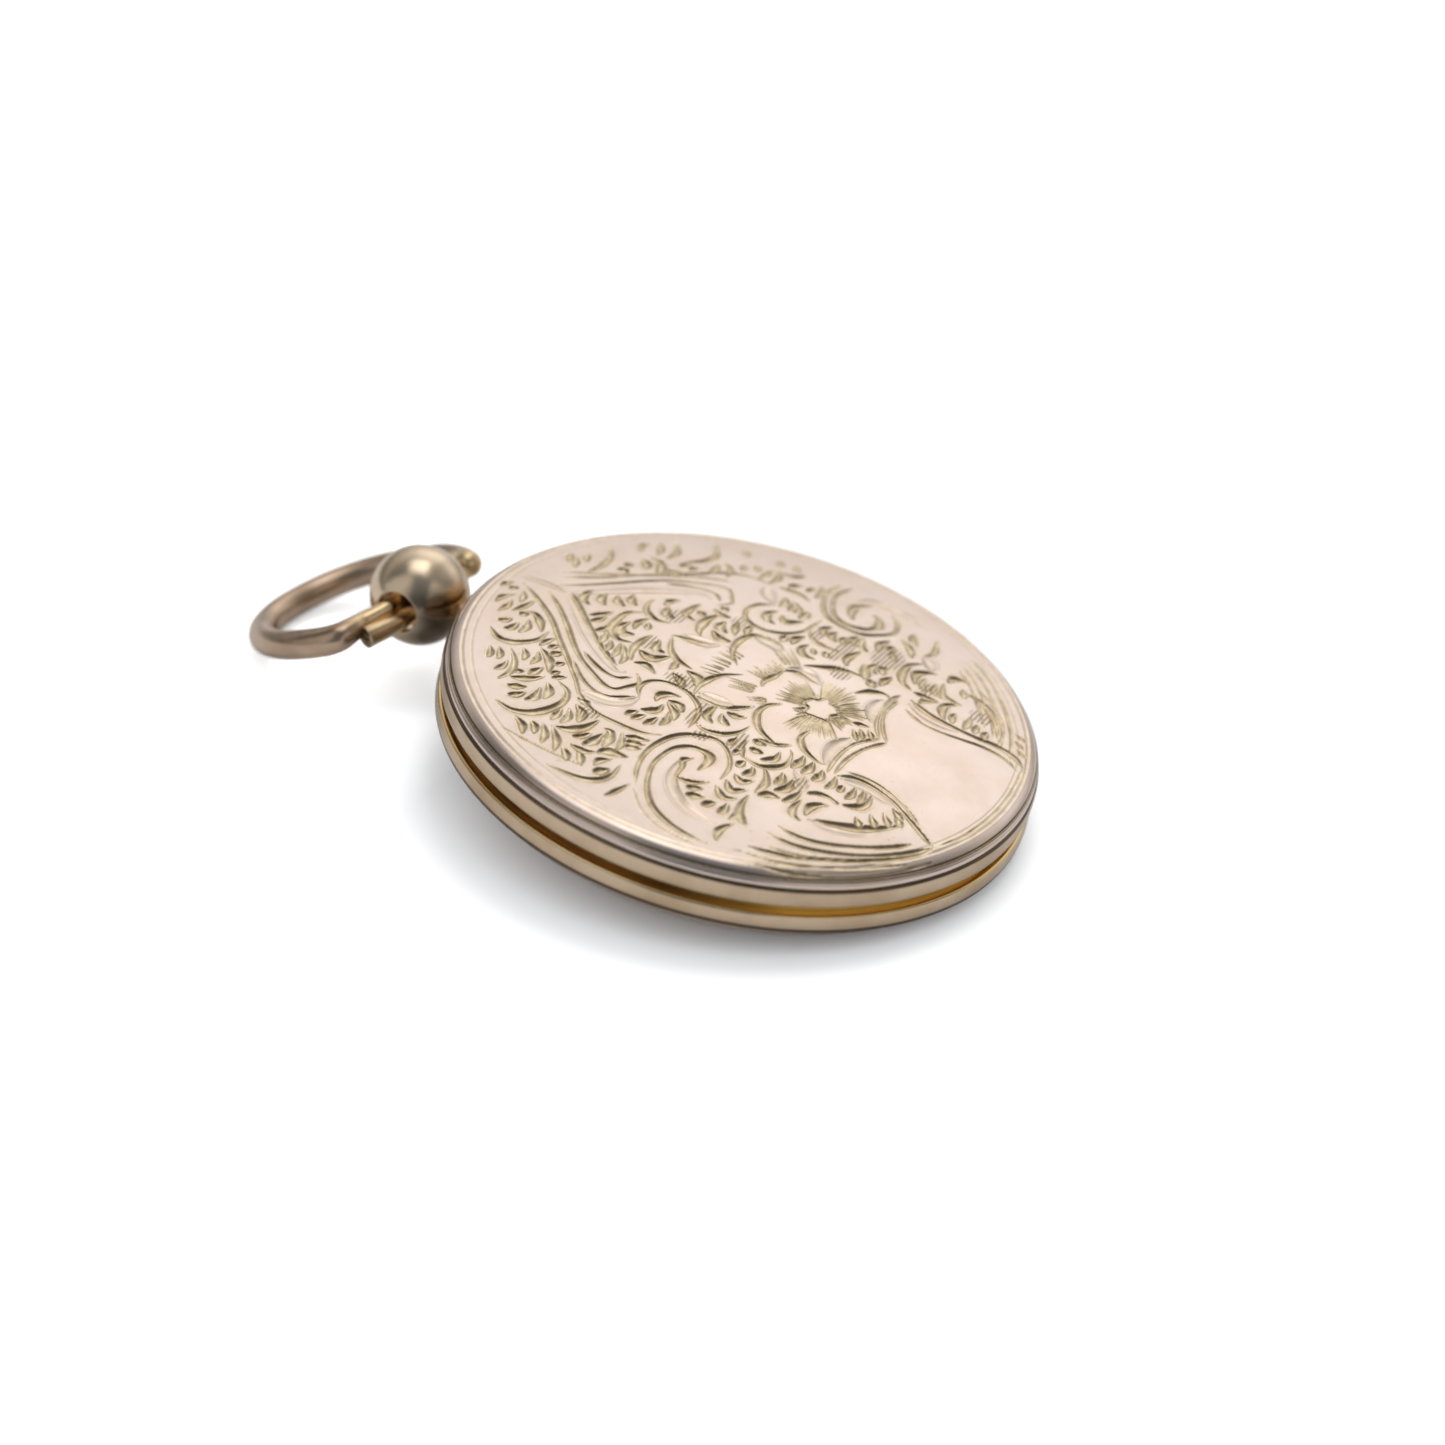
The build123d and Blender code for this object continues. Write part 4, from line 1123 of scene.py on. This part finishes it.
def inner_profile(plate):
    """Inner side of a plate, from the skirt back to the axis."""
    wall = plate.skirt - SHEET
    soft = 0.6 * MM
    radii = np.linspace(wall - soft, 0.2 * MM, 24)
    top = face_height(plate, plate.skirt) - SHEET - 0.55 * MM
    side = np.array([[wall, plate.edge], [wall, max(top, plate.edge + 0.02 * MM)]])
    corner = arc((wall - soft, side[1][1]), soft, 0, 90, 6)[1:-1]
    corner[:, 1] = np.minimum(corner[:, 1], face_height(plate, corner[:, 0]) - SHEET)
    return np.vstack([side, corner, np.stack([radii, face_height(plate, radii) - SHEET], -1)])


def plate_mesh(plate, spacing, segments, turned_line):
    """Points and quads of a closed domed plate, and how many points lie on its outer side."""
    outer = dome_profile(plate, spacing, turned_line)
    profile = np.vstack([outer, inner_profile(plate)])
    points = turned_points(profile, segments)
    quads = grid_faces(len(profile), segments, False)[:, ::-1]
    top = len(points)
    last_row = (len(profile) - 1) * segments
    points = np.vstack([points, [[0, 0, plate.crown]], [[0, 0, plate.crown - SHEET]]])
    caps = [fan(top, 0, segments, True), fan(top + 1, last_row, segments, False)]
    return points, np.vstack([quads, *caps]), len(outer) * segments


def front_plate():
    """Engraved front plate."""
    spacing = 0.065 * MM
    segments = 1440
    points, quads, outer_count = plate_mesh(FRONT, spacing, segments, True)
    face = np.zeros(len(points), bool)
    face[:outer_count] = True
    face[-2] = True
    face &= np.hypot(points[:, 0], points[:, 1]) < SKIRT_RADIUS - 0.3 * MM
    xy = points[face][:, :2] / MM
    depth = np.zeros(len(points))
    tint = np.zeros(len(points))
    cut_shade = np.zeros(len(points))
    depth[face], tint[face], cut_shade[face] = cut_depth(xy, front_cuts())
    hatch = np.zeros(len(points))
    hatch[face] = hatch_mask(xy)
    line_at = SKIRT_RADIUS - 0.19 * MM
    reach = np.hypot(points[:, 0], points[:, 1])
    in_line = (np.abs(reach - line_at) < 0.04 * MM) & (points[:, 2] < FRONT.crown - 1.2 * MM)
    in_line[outer_count:] = False
    # The turned line gets the olive tint and full painted shade in its groove.
    tint[in_line] = 1
    cut_shade[in_line] = 1
    points[:, 2] -= depth * MM
    points[:outer_count, 2] += ripple(points[:outer_count], 0.006 * MM, 12, 3) - 0.012 * MM
    points[-2, 2] -= 0.006 * MM
    obj = mesh_object("front_plate", points, quads, FACE_GOLD, "front", "front_dome")
    for name, values in (("cut", tint), ("cut_shade", cut_shade), ("hatch", hatch)):
        stored = obj.data.attributes.new(name, "FLOAT", "POINT")
        stored.data.foreach_set("value", values.astype(np.float32))
    return obj


def back_plate():
    """Back plate: turned over, standing in from the band, plain, with a worn flat in the middle."""
    points, quads, _ = plate_mesh(BACK, 0.3 * MM, 720, False)
    points[:, 2] = np.maximum(2 * JOINT_Z - points[:, 2], BACK_DOME_LOW.z)
    return mesh_object("back_plate", points, quads[:, ::-1], FACE_GOLD, "back", "back_dome")


def band(half, bore, bore_depth, skirt, seed):
    """A turned rim band with eased, slightly worn edges and a notch for the hinge."""
    low = RIM_LOW_CORNER.z
    high = RIM_TOP
    edge = BODY_RADIUS - RIM_BULGE
    flank = BODY_RADIUS - RIM_BULGE * 0.2
    middle = (low + high) / 2
    quarter = 0.2 * (high - low)
    spigot = skirt - SHEET - FIT_GAP
    spigot_top = high + SPIGOT_HEIGHT
    corners = [
        (bore, low), (edge, low), (flank, middle - quarter), (BODY_RADIUS, middle), (flank, middle + quarter),
        (edge, high), (spigot, high), (spigot, spigot_top), (LEDGE_RADIUS, spigot_top),
        (LEDGE_RADIUS, bore_depth), (bore, bore_depth),
    ]
    soft = 0.16 * MM
    radii = [0.04 * MM, soft, 0.2 * MM, 0.2 * MM, 0.2 * MM, soft, 0, 0.03 * MM, 0.03 * MM, 0.03 * MM, 0]
    outline = subdivided(rounded(corners, radii), 0.12 * MM)
    segments = 1440
    points = turned_points(outline, segments)
    outer = np.hypot(points[:, 0], points[:, 1]) > spigot + 0.1 * MM
    radius = np.hypot(points[outer, 0], points[outer, 1])
    wear = ripple(points[outer], 0.008 * MM, 14, seed) - 0.012 * MM
    points[outer, :2] *= ((radius + wear) / radius)[:, None]
    quads = grid_faces(len(outline), segments, True)
    if half == "back":
        points[:, 2] = 2 * JOINT_Z - points[:, 2]
        quads = quads[:, ::-1]
    points = open_notch(points)
    return mesh_object(f"{half}_band", points, quads, BAND_GOLD, half, f"{half}_rim")


def flange():
    """Closing flange, seen golden in the gap between the bands."""
    outer = FLANGE_HIGH.x
    inner = outer - SHEET
    corners = [(inner, FLANGE_LOW.z), (outer, FLANGE_LOW.z), (outer, FLANGE_HIGH.z), (inner, FLANGE_HIGH.z)]
    outline = subdivided(rounded(corners, [0, 0, 0.1 * MM, 0.1 * MM]), 0.25 * MM)
    points = turned_points(outline, 720)
    quads = grid_faces(len(outline), 720, True)
    return mesh_object("flange_ring", points, quads, SHADED_FLANGE_GOLD, "back", "closing_flange")


def disc(name, body, node, clearance, material):
    """Thin round sheet with eased edges in the place of a CAD disc, drawn in a little on every side."""
    low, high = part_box(node)
    radius = high.x - clearance
    bottom = low.z + clearance
    top = high.z - clearance
    ease = min(0.04 * MM, (top - bottom) / 3)
    radii = np.arange(0.4 * MM, radius - ease, 0.4 * MM)
    lower = np.stack([radii, np.full(len(radii), bottom)], -1)
    upper = lower[::-1] * [1, 0] + [0, top]
    edge = np.array(
        [[radius - ease, bottom], [radius, bottom + ease], [radius, top - ease], [radius - ease, top]]
    )
    profile = np.vstack([lower, edge, upper])
    segments = 240
    points = turned_points(profile, segments)
    tip = len(points)
    last_row = (len(profile) - 1) * segments
    quads = [
        grid_faces(len(profile), segments, False),
        fan(tip, 0, segments, False),
        fan(tip + 1, last_row, segments, True),
    ]
    points = np.vstack([points, [[0, 0, bottom], [0, 0, top]]])
    return mesh_object(name, points, np.vstack(quads), material, body, node)


def turned_about(profile, origin, axis, side, segments):
    """Closed (radius, along) outline turned about any axis through origin."""
    angle = np.arange(segments) * (2 * math.pi / segments)
    up = np.cross(axis, side)
    ring = np.cos(angle)[:, None] * side + np.sin(angle)[:, None] * up
    points = origin + profile[:, 1][:, None, None] * axis + profile[:, 0][:, None, None] * ring[None]
    return points.reshape(-1, 3)


def ball():
    """Hollow pendant ball, drilled across for the bow, the rims of its holes worn by the wire."""
    wall = 0.45 * MM
    inside = BALL_RADIUS - wall
    mouth = math.degrees(math.asin(EYE_RADIUS / BALL_RADIUS)) + 1.5
    lip = math.degrees(math.asin(EYE_RADIUS / inside))
    outer = arc((0, 0), BALL_RADIUS, 90 - mouth, mouth - 90, 60)
    inner = arc((0, 0), inside, lip - 90, 90 - lip, 40)
    ease = 0.08 * MM
    near_mouth = [[EYE_RADIUS, outer[-1][1] + ease]]
    far_mouth = [[EYE_RADIUS, outer[0][1] - ease]]
    profile = np.vstack([outer, near_mouth, inner, far_mouth])
    segments = 160
    origin = np.array(BALL_CENTRE)
    points = turned_about(profile, origin, np.array([1.0, 0, 0]), np.array([0, 0, 1.0]), segments)
    away = points - origin
    distance = np.linalg.norm(away, axis=1)
    skin = distance > BALL_RADIUS - 0.05 * MM
    wear = ripple(points[skin], 0.012 * MM, 10, 5) - 0.03 * MM
    points[skin] += away[skin] / distance[skin][:, None] * wear[:, None]
    quads = grid_faces(len(profile), segments, True)
    return mesh_object("ball_drilled", points, quads, BALL_GOLD, "back", "pendant_ball")


def neck():
    """Waisted collar between the band and the ball, with a solder fillet at each end."""
    start = BODY_RADIUS - 0.1 * MM
    end = NECK_HIGH.y
    middle = (start + end) / 2
    wide = (NECK_HIGH.x - NECK_LOW.x) / 2
    waist = 0.72 * MM
    bore = 0.4 * MM
    t = np.linspace(-1, 1, 15)
    outline = np.stack([waist + (wide - waist) * np.abs(t) ** 2.4, middle + t * (end - start) / 2], -1)
    outline = np.vstack([outline, [[bore, end]], [[bore, start]]])
    origin = np.array([0, 0, BALL_CENTRE.z])
    points = turned_about(outline, origin, np.array([0, 1.0, 0]), np.array([1.0, 0, 0]), 72)
    inner_reach = np.hypot(points[:, 0], points[:, 1]) < BODY_RADIUS
    points[inner_reach, 1] = np.sqrt(BODY_RADIUS**2 - points[inner_reach, 0] ** 2)
    away = points - np.array(BALL_CENTRE)
    distance = np.linalg.norm(away, axis=1)
    sunk = distance < BALL_RADIUS
    points[sunk] = np.array(BALL_CENTRE) + away[sunk] / distance[sunk][:, None] * BALL_RADIUS
    quads = grid_faces(len(outline), 72, True)
    return mesh_object("neck_collar", points, quads, BALL_GOLD, "back", "pendant_neck")


def on_bow(angle, radius):
    """Point of the bow's centre line at an angle round from the hinge side, with its wire radius."""
    across = BOW_CENTRE[0] + BOW_RING_RADIUS * math.cos(math.radians(angle))
    away = BOW_CENTRE[1] + BOW_RING_RADIUS * math.sin(math.radians(angle))
    return (across, away, 0, radius)


def ring_path():
    """The ring of the bow: from the tight elbow round to the end that hooks into the ball."""
    ring = [on_bow(a, BOW_WIRE) for a in np.arange(-47, 185, 1.0)]
    hook = curve_through(
        [on_bow(186, BOW_WIRE), on_bow(192, BOW_WIRE), (-5.7, 1.98, 0.05, 0.83), (-5.05, 1.6, 0.13, 0.74),
         (-4.1, 1.32, 0.2, 0.62), (-2.65, 0.46, 0.36, BOW_END), (-0.8, 0.4, 0.44, BOW_END)]
    )
    return np.vstack([ring, hook])


def tail_path():
    """The other end: straight from the elbow through the ball to the snipped tip by the ring."""
    return curve_through(
        [(*ELBOW, BOW_END), (1, -0.32, -0.42, BOW_END), (-2.65, 0.04, -0.5, 0.6), (-4.9, 0.9, -0.46, 0.68)]
    )


def bow_axes():
    """Directions of the bow's own plane: across, away from the body, up."""
    across = np.array([1.0, 0, 0])
    away = np.array([0, math.cos(BOW_DROOP), -math.sin(BOW_DROOP)])
    return across, away, np.cross(across, away)


def in_place(path):
    """Centre line of a bow path in the frame, and its wire radius, in metres."""
    across, away, up = bow_axes()
    flat = path * MM
    return np.array(BALL_CENTRE) + flat[:, :1] * across + flat[:, 1:2] * away + flat[:, 2:3] * up, flat[:, 3]


def rounded_start(centre, tangent, radius):
    """Rows that close the start of a wire with a half ball."""
    angle = np.radians(np.linspace(8, 82, 9))
    rows = centre - tangent * (radius * np.cos(angle))[:, None]
    return rows, radius * np.sin(angle)


def wire_mesh(name, path, snipped):
    """One length of wire with slight flats from the pliers. Its far end is flat, and rough where snipped."""
    centre, radius = in_place(path)
    tangent = np.gradient(centre, axis=0)
    tangent /= np.linalg.norm(tangent, axis=1)[:, None]
    start, start_radius = rounded_start(centre[0], tangent[0], radius[0])
    centre = np.vstack([start, centre])
    radius = np.r_[start_radius, radius]
    tangent = np.vstack([np.repeat(tangent[:1], len(start), axis=0), tangent])
    step = np.array([0.03, 0.05, 0.045, 0.03]) * MM
    share = np.array([0.86, 0.6, 0.3, 0.08])
    centre = np.vstack([centre, centre[-1] + tangent[-1] * step[:, None]])
    radius = np.r_[radius, radius[-1] * share]
    tangent = np.vstack([tangent, np.repeat(tangent[-1:], len(step), axis=0)])
    side = np.cross(tangent, bow_axes()[2])
    side /= np.linalg.norm(side, axis=1)[:, None]
    other = np.cross(side, tangent)
    segments = 48
    angle = np.arange(segments) * (2 * math.pi / segments)
    spokes = np.cos(angle)[None, :, None] * side[:, None] + np.sin(angle)[None, :, None] * other[:, None]
    points = (centre[:, None] + radius[:, None, None] * spokes).reshape(-1, 3)
    dent = (ripple(points, 0.013 * MM, 16, 9) - 0.02 * MM).reshape(len(centre), segments)
    dent *= np.clip(radius / (0.4 * MM), 0, 1)[:, None]
    points += (spokes * dent[..., None]).reshape(-1, 3)
    if snipped:
        rough = rng.normal(size=(len(step), segments)) * 0.03 * MM
        last = points[-len(step) * segments :].reshape(len(step), segments, 3)
        last += tangent[-1] * rough[..., None]
    quads = grid_faces(len(centre), segments, False)
    tip = len(points)
    last_row = (len(centre) - 1) * segments
    points = np.vstack([points, centre[0] - tangent[0] * radius[0] * 0.1, centre[-1]])
    quads = np.vstack([quads, fan(tip, 0, segments, True), fan(tip + 1, last_row, segments, False)])
    return mesh_object(name, points, quads, BOW_GOLD, "bow", "bow_ring")


def bow():
    """Bent wire bow: the ring and its tail, one length of wire in the hand."""
    wire_mesh("bow_wire", ring_path(), False)
    wire_mesh("bow_tail", tail_path(), True)


def finish_cad_nodes():
    """Materials for the CAD pieces that are shown as they are."""
    finishes = {"hinge_pin": BAND_GOLD, "pendant_stem": BALL_GOLD}
    for node in ("front_lining", "back_lining", "front_bezel", "back_bezel"):
        finishes[node] = INNER_GOLD
    for node in ("front_hinge_knuckle", "back_hinge_knuckle_top", "back_hinge_knuckle_bottom"):
        finishes[node] = BAND_GOLD
    for name, material in finishes.items():
        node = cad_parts[name]
        node.data.materials.clear()
        node.data.materials.append(material)


def build_object():
    """Every dressed piece of the locket."""
    front_plate()
    back_plate()
    band("front", FLANGE_HIGH.x + FLANGE_CLEARANCE, JOINT_Z + FRONT_POCKET, FRONT.skirt, 11)
    band("back", FLANGE_HIGH.x, JOINT_Z + BACK_POCKET, BACK.skirt, 12)
    flange()
    ball()
    neck()
    bow()
    for half in ("front", "back"):
        disc(f"{half}_card", half, f"{half}_picture_card", 0.005 * MM, CARD)
        disc(f"{half}_cover", half, f"{half}_glazing", FIT_GAP, GLAZING)
    finish_cad_nodes()


# ---------------------------------------------------------------- studio

def table_plane():
    """The table touches the drooping bow and the far shoulder of the back, so it is tilted to the locket."""
    centre, radius = in_place(ring_path())
    rim = dome_profile(BACK, 0.3 * MM, False)
    rim_height = np.maximum(2 * JOINT_Z - rim[:, 1], BACK_DOME_LOW.z)
    back = np.stack([np.zeros(len(rim)), -rim[:, 0], rim_height], -1)
    low = math.radians(2)
    high = math.radians(12)
    for _ in range(30):
        tilt = (low + high) / 2
        normal = np.array([0, math.sin(tilt), math.cos(tilt)])
        bow_level = (centre @ normal - radius).min()
        back_level = (back @ normal).min()
        if bow_level < back_level:
            low = tilt
        else:
            high = tilt
    return Vector(normal), min(bow_level, back_level)


def floor_material():
    """Pale paper sweep with a painted glow beside the pendant for the camera, held back in reflections; clear
    from underneath.
    """
    material, nodes, links, shader = new_material("white_sweep")
    grain = noise(nodes, links, 40, 4)
    paper = ramp(nodes, links, grain, (0.3, grey(0.9)), (0.7, grey(0.93)))
    paths = nodes.new("ShaderNodeLightPath")
    seen = mix_colour(nodes, links, paths.outputs["Is Glossy Ray"], paper, grey(PAPER_IN_METAL))
    links.new(seen, shader.inputs["Base Color"])
    place = nodes.new("ShaderNodeTexCoord")
    split = nodes.new("ShaderNodeSeparateXYZ")
    links.new(place.outputs["Object"], split.inputs[0])
    # Painted glow: the paper beside the pendant glows for camera rays, washing out the bow's shadow.
    painted_glow = clamped(nodes, links, stepped(nodes, links, split.outputs[1], 13 * MM, 22 * MM))
    to_lens = math_node(nodes, links, "MULTIPLY", painted_glow, paths.outputs["Is Camera Ray"])
    shader.inputs["Emission Color"].default_value = (1, 1, 1, 1)
    links.new(math_node(nodes, links, "MULTIPLY", to_lens, 0.4), shader.inputs["Emission Strength"])
    shader.inputs["Roughness"].default_value = 0.9
    shader.inputs["Specular IOR Level"].default_value = 0.1
    output = next(n for n in nodes if n.type == "OUTPUT_MATERIAL")
    side = nodes.new("ShaderNodeNewGeometry")
    clear = nodes.new("ShaderNodeBsdfTransparent")
    choose = nodes.new("ShaderNodeMixShader")
    links.new(side.outputs["Backfacing"], choose.inputs[0])
    links.new(shader.outputs[0], choose.inputs[1])
    links.new(clear.outputs[0], choose.inputs[2])
    links.new(choose.outputs[0], output.inputs["Surface"])
    return material


def build_floor():
    """Square of paper lying in the table plane."""
    normal, offset = table_plane()
    half = 0.9
    side = Vector((1, 0, 0))
    ahead = normal.cross(side)
    centre = normal * (offset - 0.02 * MM)
    mesh = bpy.data.meshes.new("floor")
    quarters = ((-1, -1), (1, -1), (1, 1), (-1, 1))
    corners = [centre + side * (half * a) + ahead * (half * b) for a, b in quarters]
    mesh.from_pydata(corners, [], [(0, 1, 2, 3)])
    mesh.materials.append(floor_material())
    obj = bpy.data.objects.new("floor", mesh)
    bpy.context.scene.collection.objects.link(obj)


def toward(azimuth, elevation):
    """Direction from the locket to something at an azimuth and elevation, in radians."""
    level = math.cos(elevation)
    return Vector((math.sin(azimuth) * level, -math.cos(azimuth) * level, math.sin(elevation)))


def area_light(name, azimuth, elevation, distance, size, power, colour):
    """Soft box aimed at the middle of the locket. Azimuth as for the camera."""
    data = bpy.data.lights.new(name, "AREA")
    data.shape = "RECTANGLE"
    data.size = size[0]
    data.size_y = size[1]
    data.energy = power
    data.color = colour
    obj = bpy.data.objects.new(name, data)
    bpy.context.scene.collection.objects.link(obj)
    back = toward(math.radians(azimuth), math.radians(elevation))
    obj.location = AIM + back * distance
    obj.rotation_mode = "QUATERNION"
    obj.rotation_quaternion = (-back).to_track_quat("-Z", "Y")
    return obj


def build_world():
    """Surround: white to the camera, even white for the paper's own light, and a shaped tent for reflections.

    The tent is bright beyond the locket, grey overhead and dark behind the camera.
    """
    world = bpy.data.worlds.new("tent")
    bpy.context.scene.world = world
    world.use_nodes = True
    nodes = world.node_tree.nodes
    links = world.node_tree.links
    nodes.clear()
    output = nodes.new("ShaderNodeOutputWorld")
    background = nodes.new("ShaderNodeBackground")
    place = nodes.new("ShaderNodeTexCoord")
    away = direction_part(nodes, links, place, CAMERA_AWAY)
    side = direction_part(nodes, links, place, CAMERA_SIDE)
    height = direction_part(nodes, links, place, Vector((0, 0, 1)))
    over = math_node(nodes, links, "ARCTAN2", height, away)
    turn = math_node(nodes, links, "DIVIDE", over, math.pi)
    arch = grey_ramp(
        nodes, links, turn, 180, (0, 0.5), (12, 0.68), (26, 1.04), (38, 1.16), (47, 1.0), (60, 0.62),
        (75, 0.46), (92, 0.38), (180, 0.36),
    )
    across = math_node(nodes, links, "MULTIPLY_ADD", side, 0.5, 0.5)
    wings = grey_ramp(
        nodes, links, across, 1, (0.0, 0.3), (0.25, 0.52), (0.38, 0.83), (0.52, 1.0), (0.60, 0.95),
        (0.68, 0.62), (0.8, 0.7), (1.0, 0.35),
    )
    beyond = mix_colour(nodes, links, 1.0, arch, wings, "MULTIPLY")
    slate = (0.15, 0.17, 0.19)
    overhead = ramp(
        nodes, links, across, (0.0, grey(0.45)), (0.28, grey(0.5)), (0.37, slate), (0.66, slate),
        (0.72, grey(0.5)), (1.0, grey(0.4)),
    )
    glow = grey_ramp(nodes, links, turn, 180, (56, 0), (70, 0.9), (86, 1), (96, 0.6), (106, 0))
    box = grey_ramp(nodes, links, across, 1, (0.2, 0), (0.3, 0.8), (0.44, 1), (0.52, 0.9), (0.58, 0))
    soft_box = mix_colour(nodes, links, 1.0, glow, box, "MULTIPLY")
    lamp = mix_colour(nodes, links, 1.0, soft_box, grey(1.2), "MULTIPLY")
    rising = grey_ramp(nodes, links, turn, 180, (98, 0), (116, 1))
    plain = mix_colour(nodes, links, rising, beyond, overhead)
    tent = mix_colour(nodes, links, 1.0, plain, lamp, "ADD")
    paths = nodes.new("ShaderNodeLightPath")
    lit = mix_colour(nodes, links, paths.outputs["Is Diffuse Ray"], tent, SKY_FOR_PAPER)
    seen = mix_colour(nodes, links, paths.outputs["Is Camera Ray"], lit, grey(1.0))
    links.new(seen, background.inputs["Color"])
    links.new(background.outputs[0], output.inputs["Surface"])


def direction_part(nodes, links, place, axis):
    """Share of the looked-at direction that lies along an axis."""
    node = nodes.new("ShaderNodeVectorMath")
    node.operation = "DOT_PRODUCT"
    node.inputs[1].default_value = axis
    links.new(place.outputs["Generated"], node.inputs[0])
    return node.outputs["Value"]


CAMERA_AZIMUTH = -70.27
CAMERA_ELEVATION = 33.13
CAMERA_AWAY = Vector((-math.sin(math.radians(CAMERA_AZIMUTH)), math.cos(math.radians(CAMERA_AZIMUTH)), 0))
CAMERA_SIDE = Vector((math.cos(math.radians(CAMERA_AZIMUTH)), math.sin(math.radians(CAMERA_AZIMUTH)), 0))
SKY_FOR_PAPER = (1.27, 1.3, 1.33)
PAPER_IN_METAL = 0.42
AIM = Vector((-0.38 * MM, 0.83 * MM, JOINT_Z))


def build_lights():
    """One soft key from beyond the locket, kept out of reflections, which the tent makes."""
    warm_white = (1.0, 0.985, 0.96)
    size = (0.22, 0.17)
    key = area_light("key", CAMERA_AZIMUTH + 180, 66, 0.5, size, 0.7, warm_white)
    key.visible_glossy = False


def build_camera():
    """Low three-quarter view from the pendant's left, as the locket was seen."""
    azimuth = math.radians(CAMERA_AZIMUTH)
    elevation = math.radians(CAMERA_ELEVATION)
    roll = math.radians(14.13)
    distance = 223.5 * MM
    back = toward(azimuth, elevation)
    level = Vector((math.cos(azimuth), math.sin(azimuth), 0))
    upright = back.cross(level)
    right = level * math.cos(roll) + upright * math.sin(roll)
    up = back.cross(right)
    data = bpy.data.cameras.new("camera")
    data.sensor_width = 36
    data.lens = 99.65
    data.clip_start = 0.01
    data.clip_end = 20
    focus = bpy.data.objects.new("focus", None)
    focus.location = (-3 * MM, -5 * MM, CROWN)
    bpy.context.scene.collection.objects.link(focus)
    data.dof.use_dof = True
    data.dof.focus_object = focus
    data.dof.aperture_fstop = 22
    camera = bpy.data.objects.new("camera", data)
    bpy.context.scene.collection.objects.link(camera)
    camera.matrix_world = Matrix(
        (
            (right.x, up.x, back.x, AIM.x + back.x * distance),
            (right.y, up.y, back.y, AIM.y + back.y * distance),
            (right.z, up.z, back.z, AIM.z + back.z * distance),
            (0, 0, 0, 1),
        )
    )
    bpy.context.scene.camera = camera


FACE_GOLD = engraved_gold("face_gold", (0.91, 0.745, 0.65), (0.84, 0.66, 0.53), 0.2)
BAND_GOLD = seam_gold("band_gold", (0.77, 0.585, 0.41), (0.56, 0.40, 0.25), 0.2)
INNER_GOLD = worn_gold("inner_gold", (0.92, 0.66, 0.30), (0.66, 0.43, 0.15), 0.32)
# Very dark flange colours: painted shade in the gap between the bands.
SHADED_FLANGE_GOLD = shaded_flange_gold("shaded_flange_gold", (0.24, 0.13, 0.05), (0.14, 0.08, 0.03), 0.34)
BALL_GOLD = ball_gold("ball_gold", (0.88, 0.70, 0.50), (0.50, 0.35, 0.21), 0.19)
BOW_GOLD = wire_gold("bow_gold", (0.68, 0.50, 0.36), (0.40, 0.27, 0.18), 0.2)
CARD = card_paper()
GLAZING = clear_glazing()
build_object()
build_floor()
build_world()
build_lights()
build_camera()
bpy.context.scene.view_settings.view_transform = "Standard"
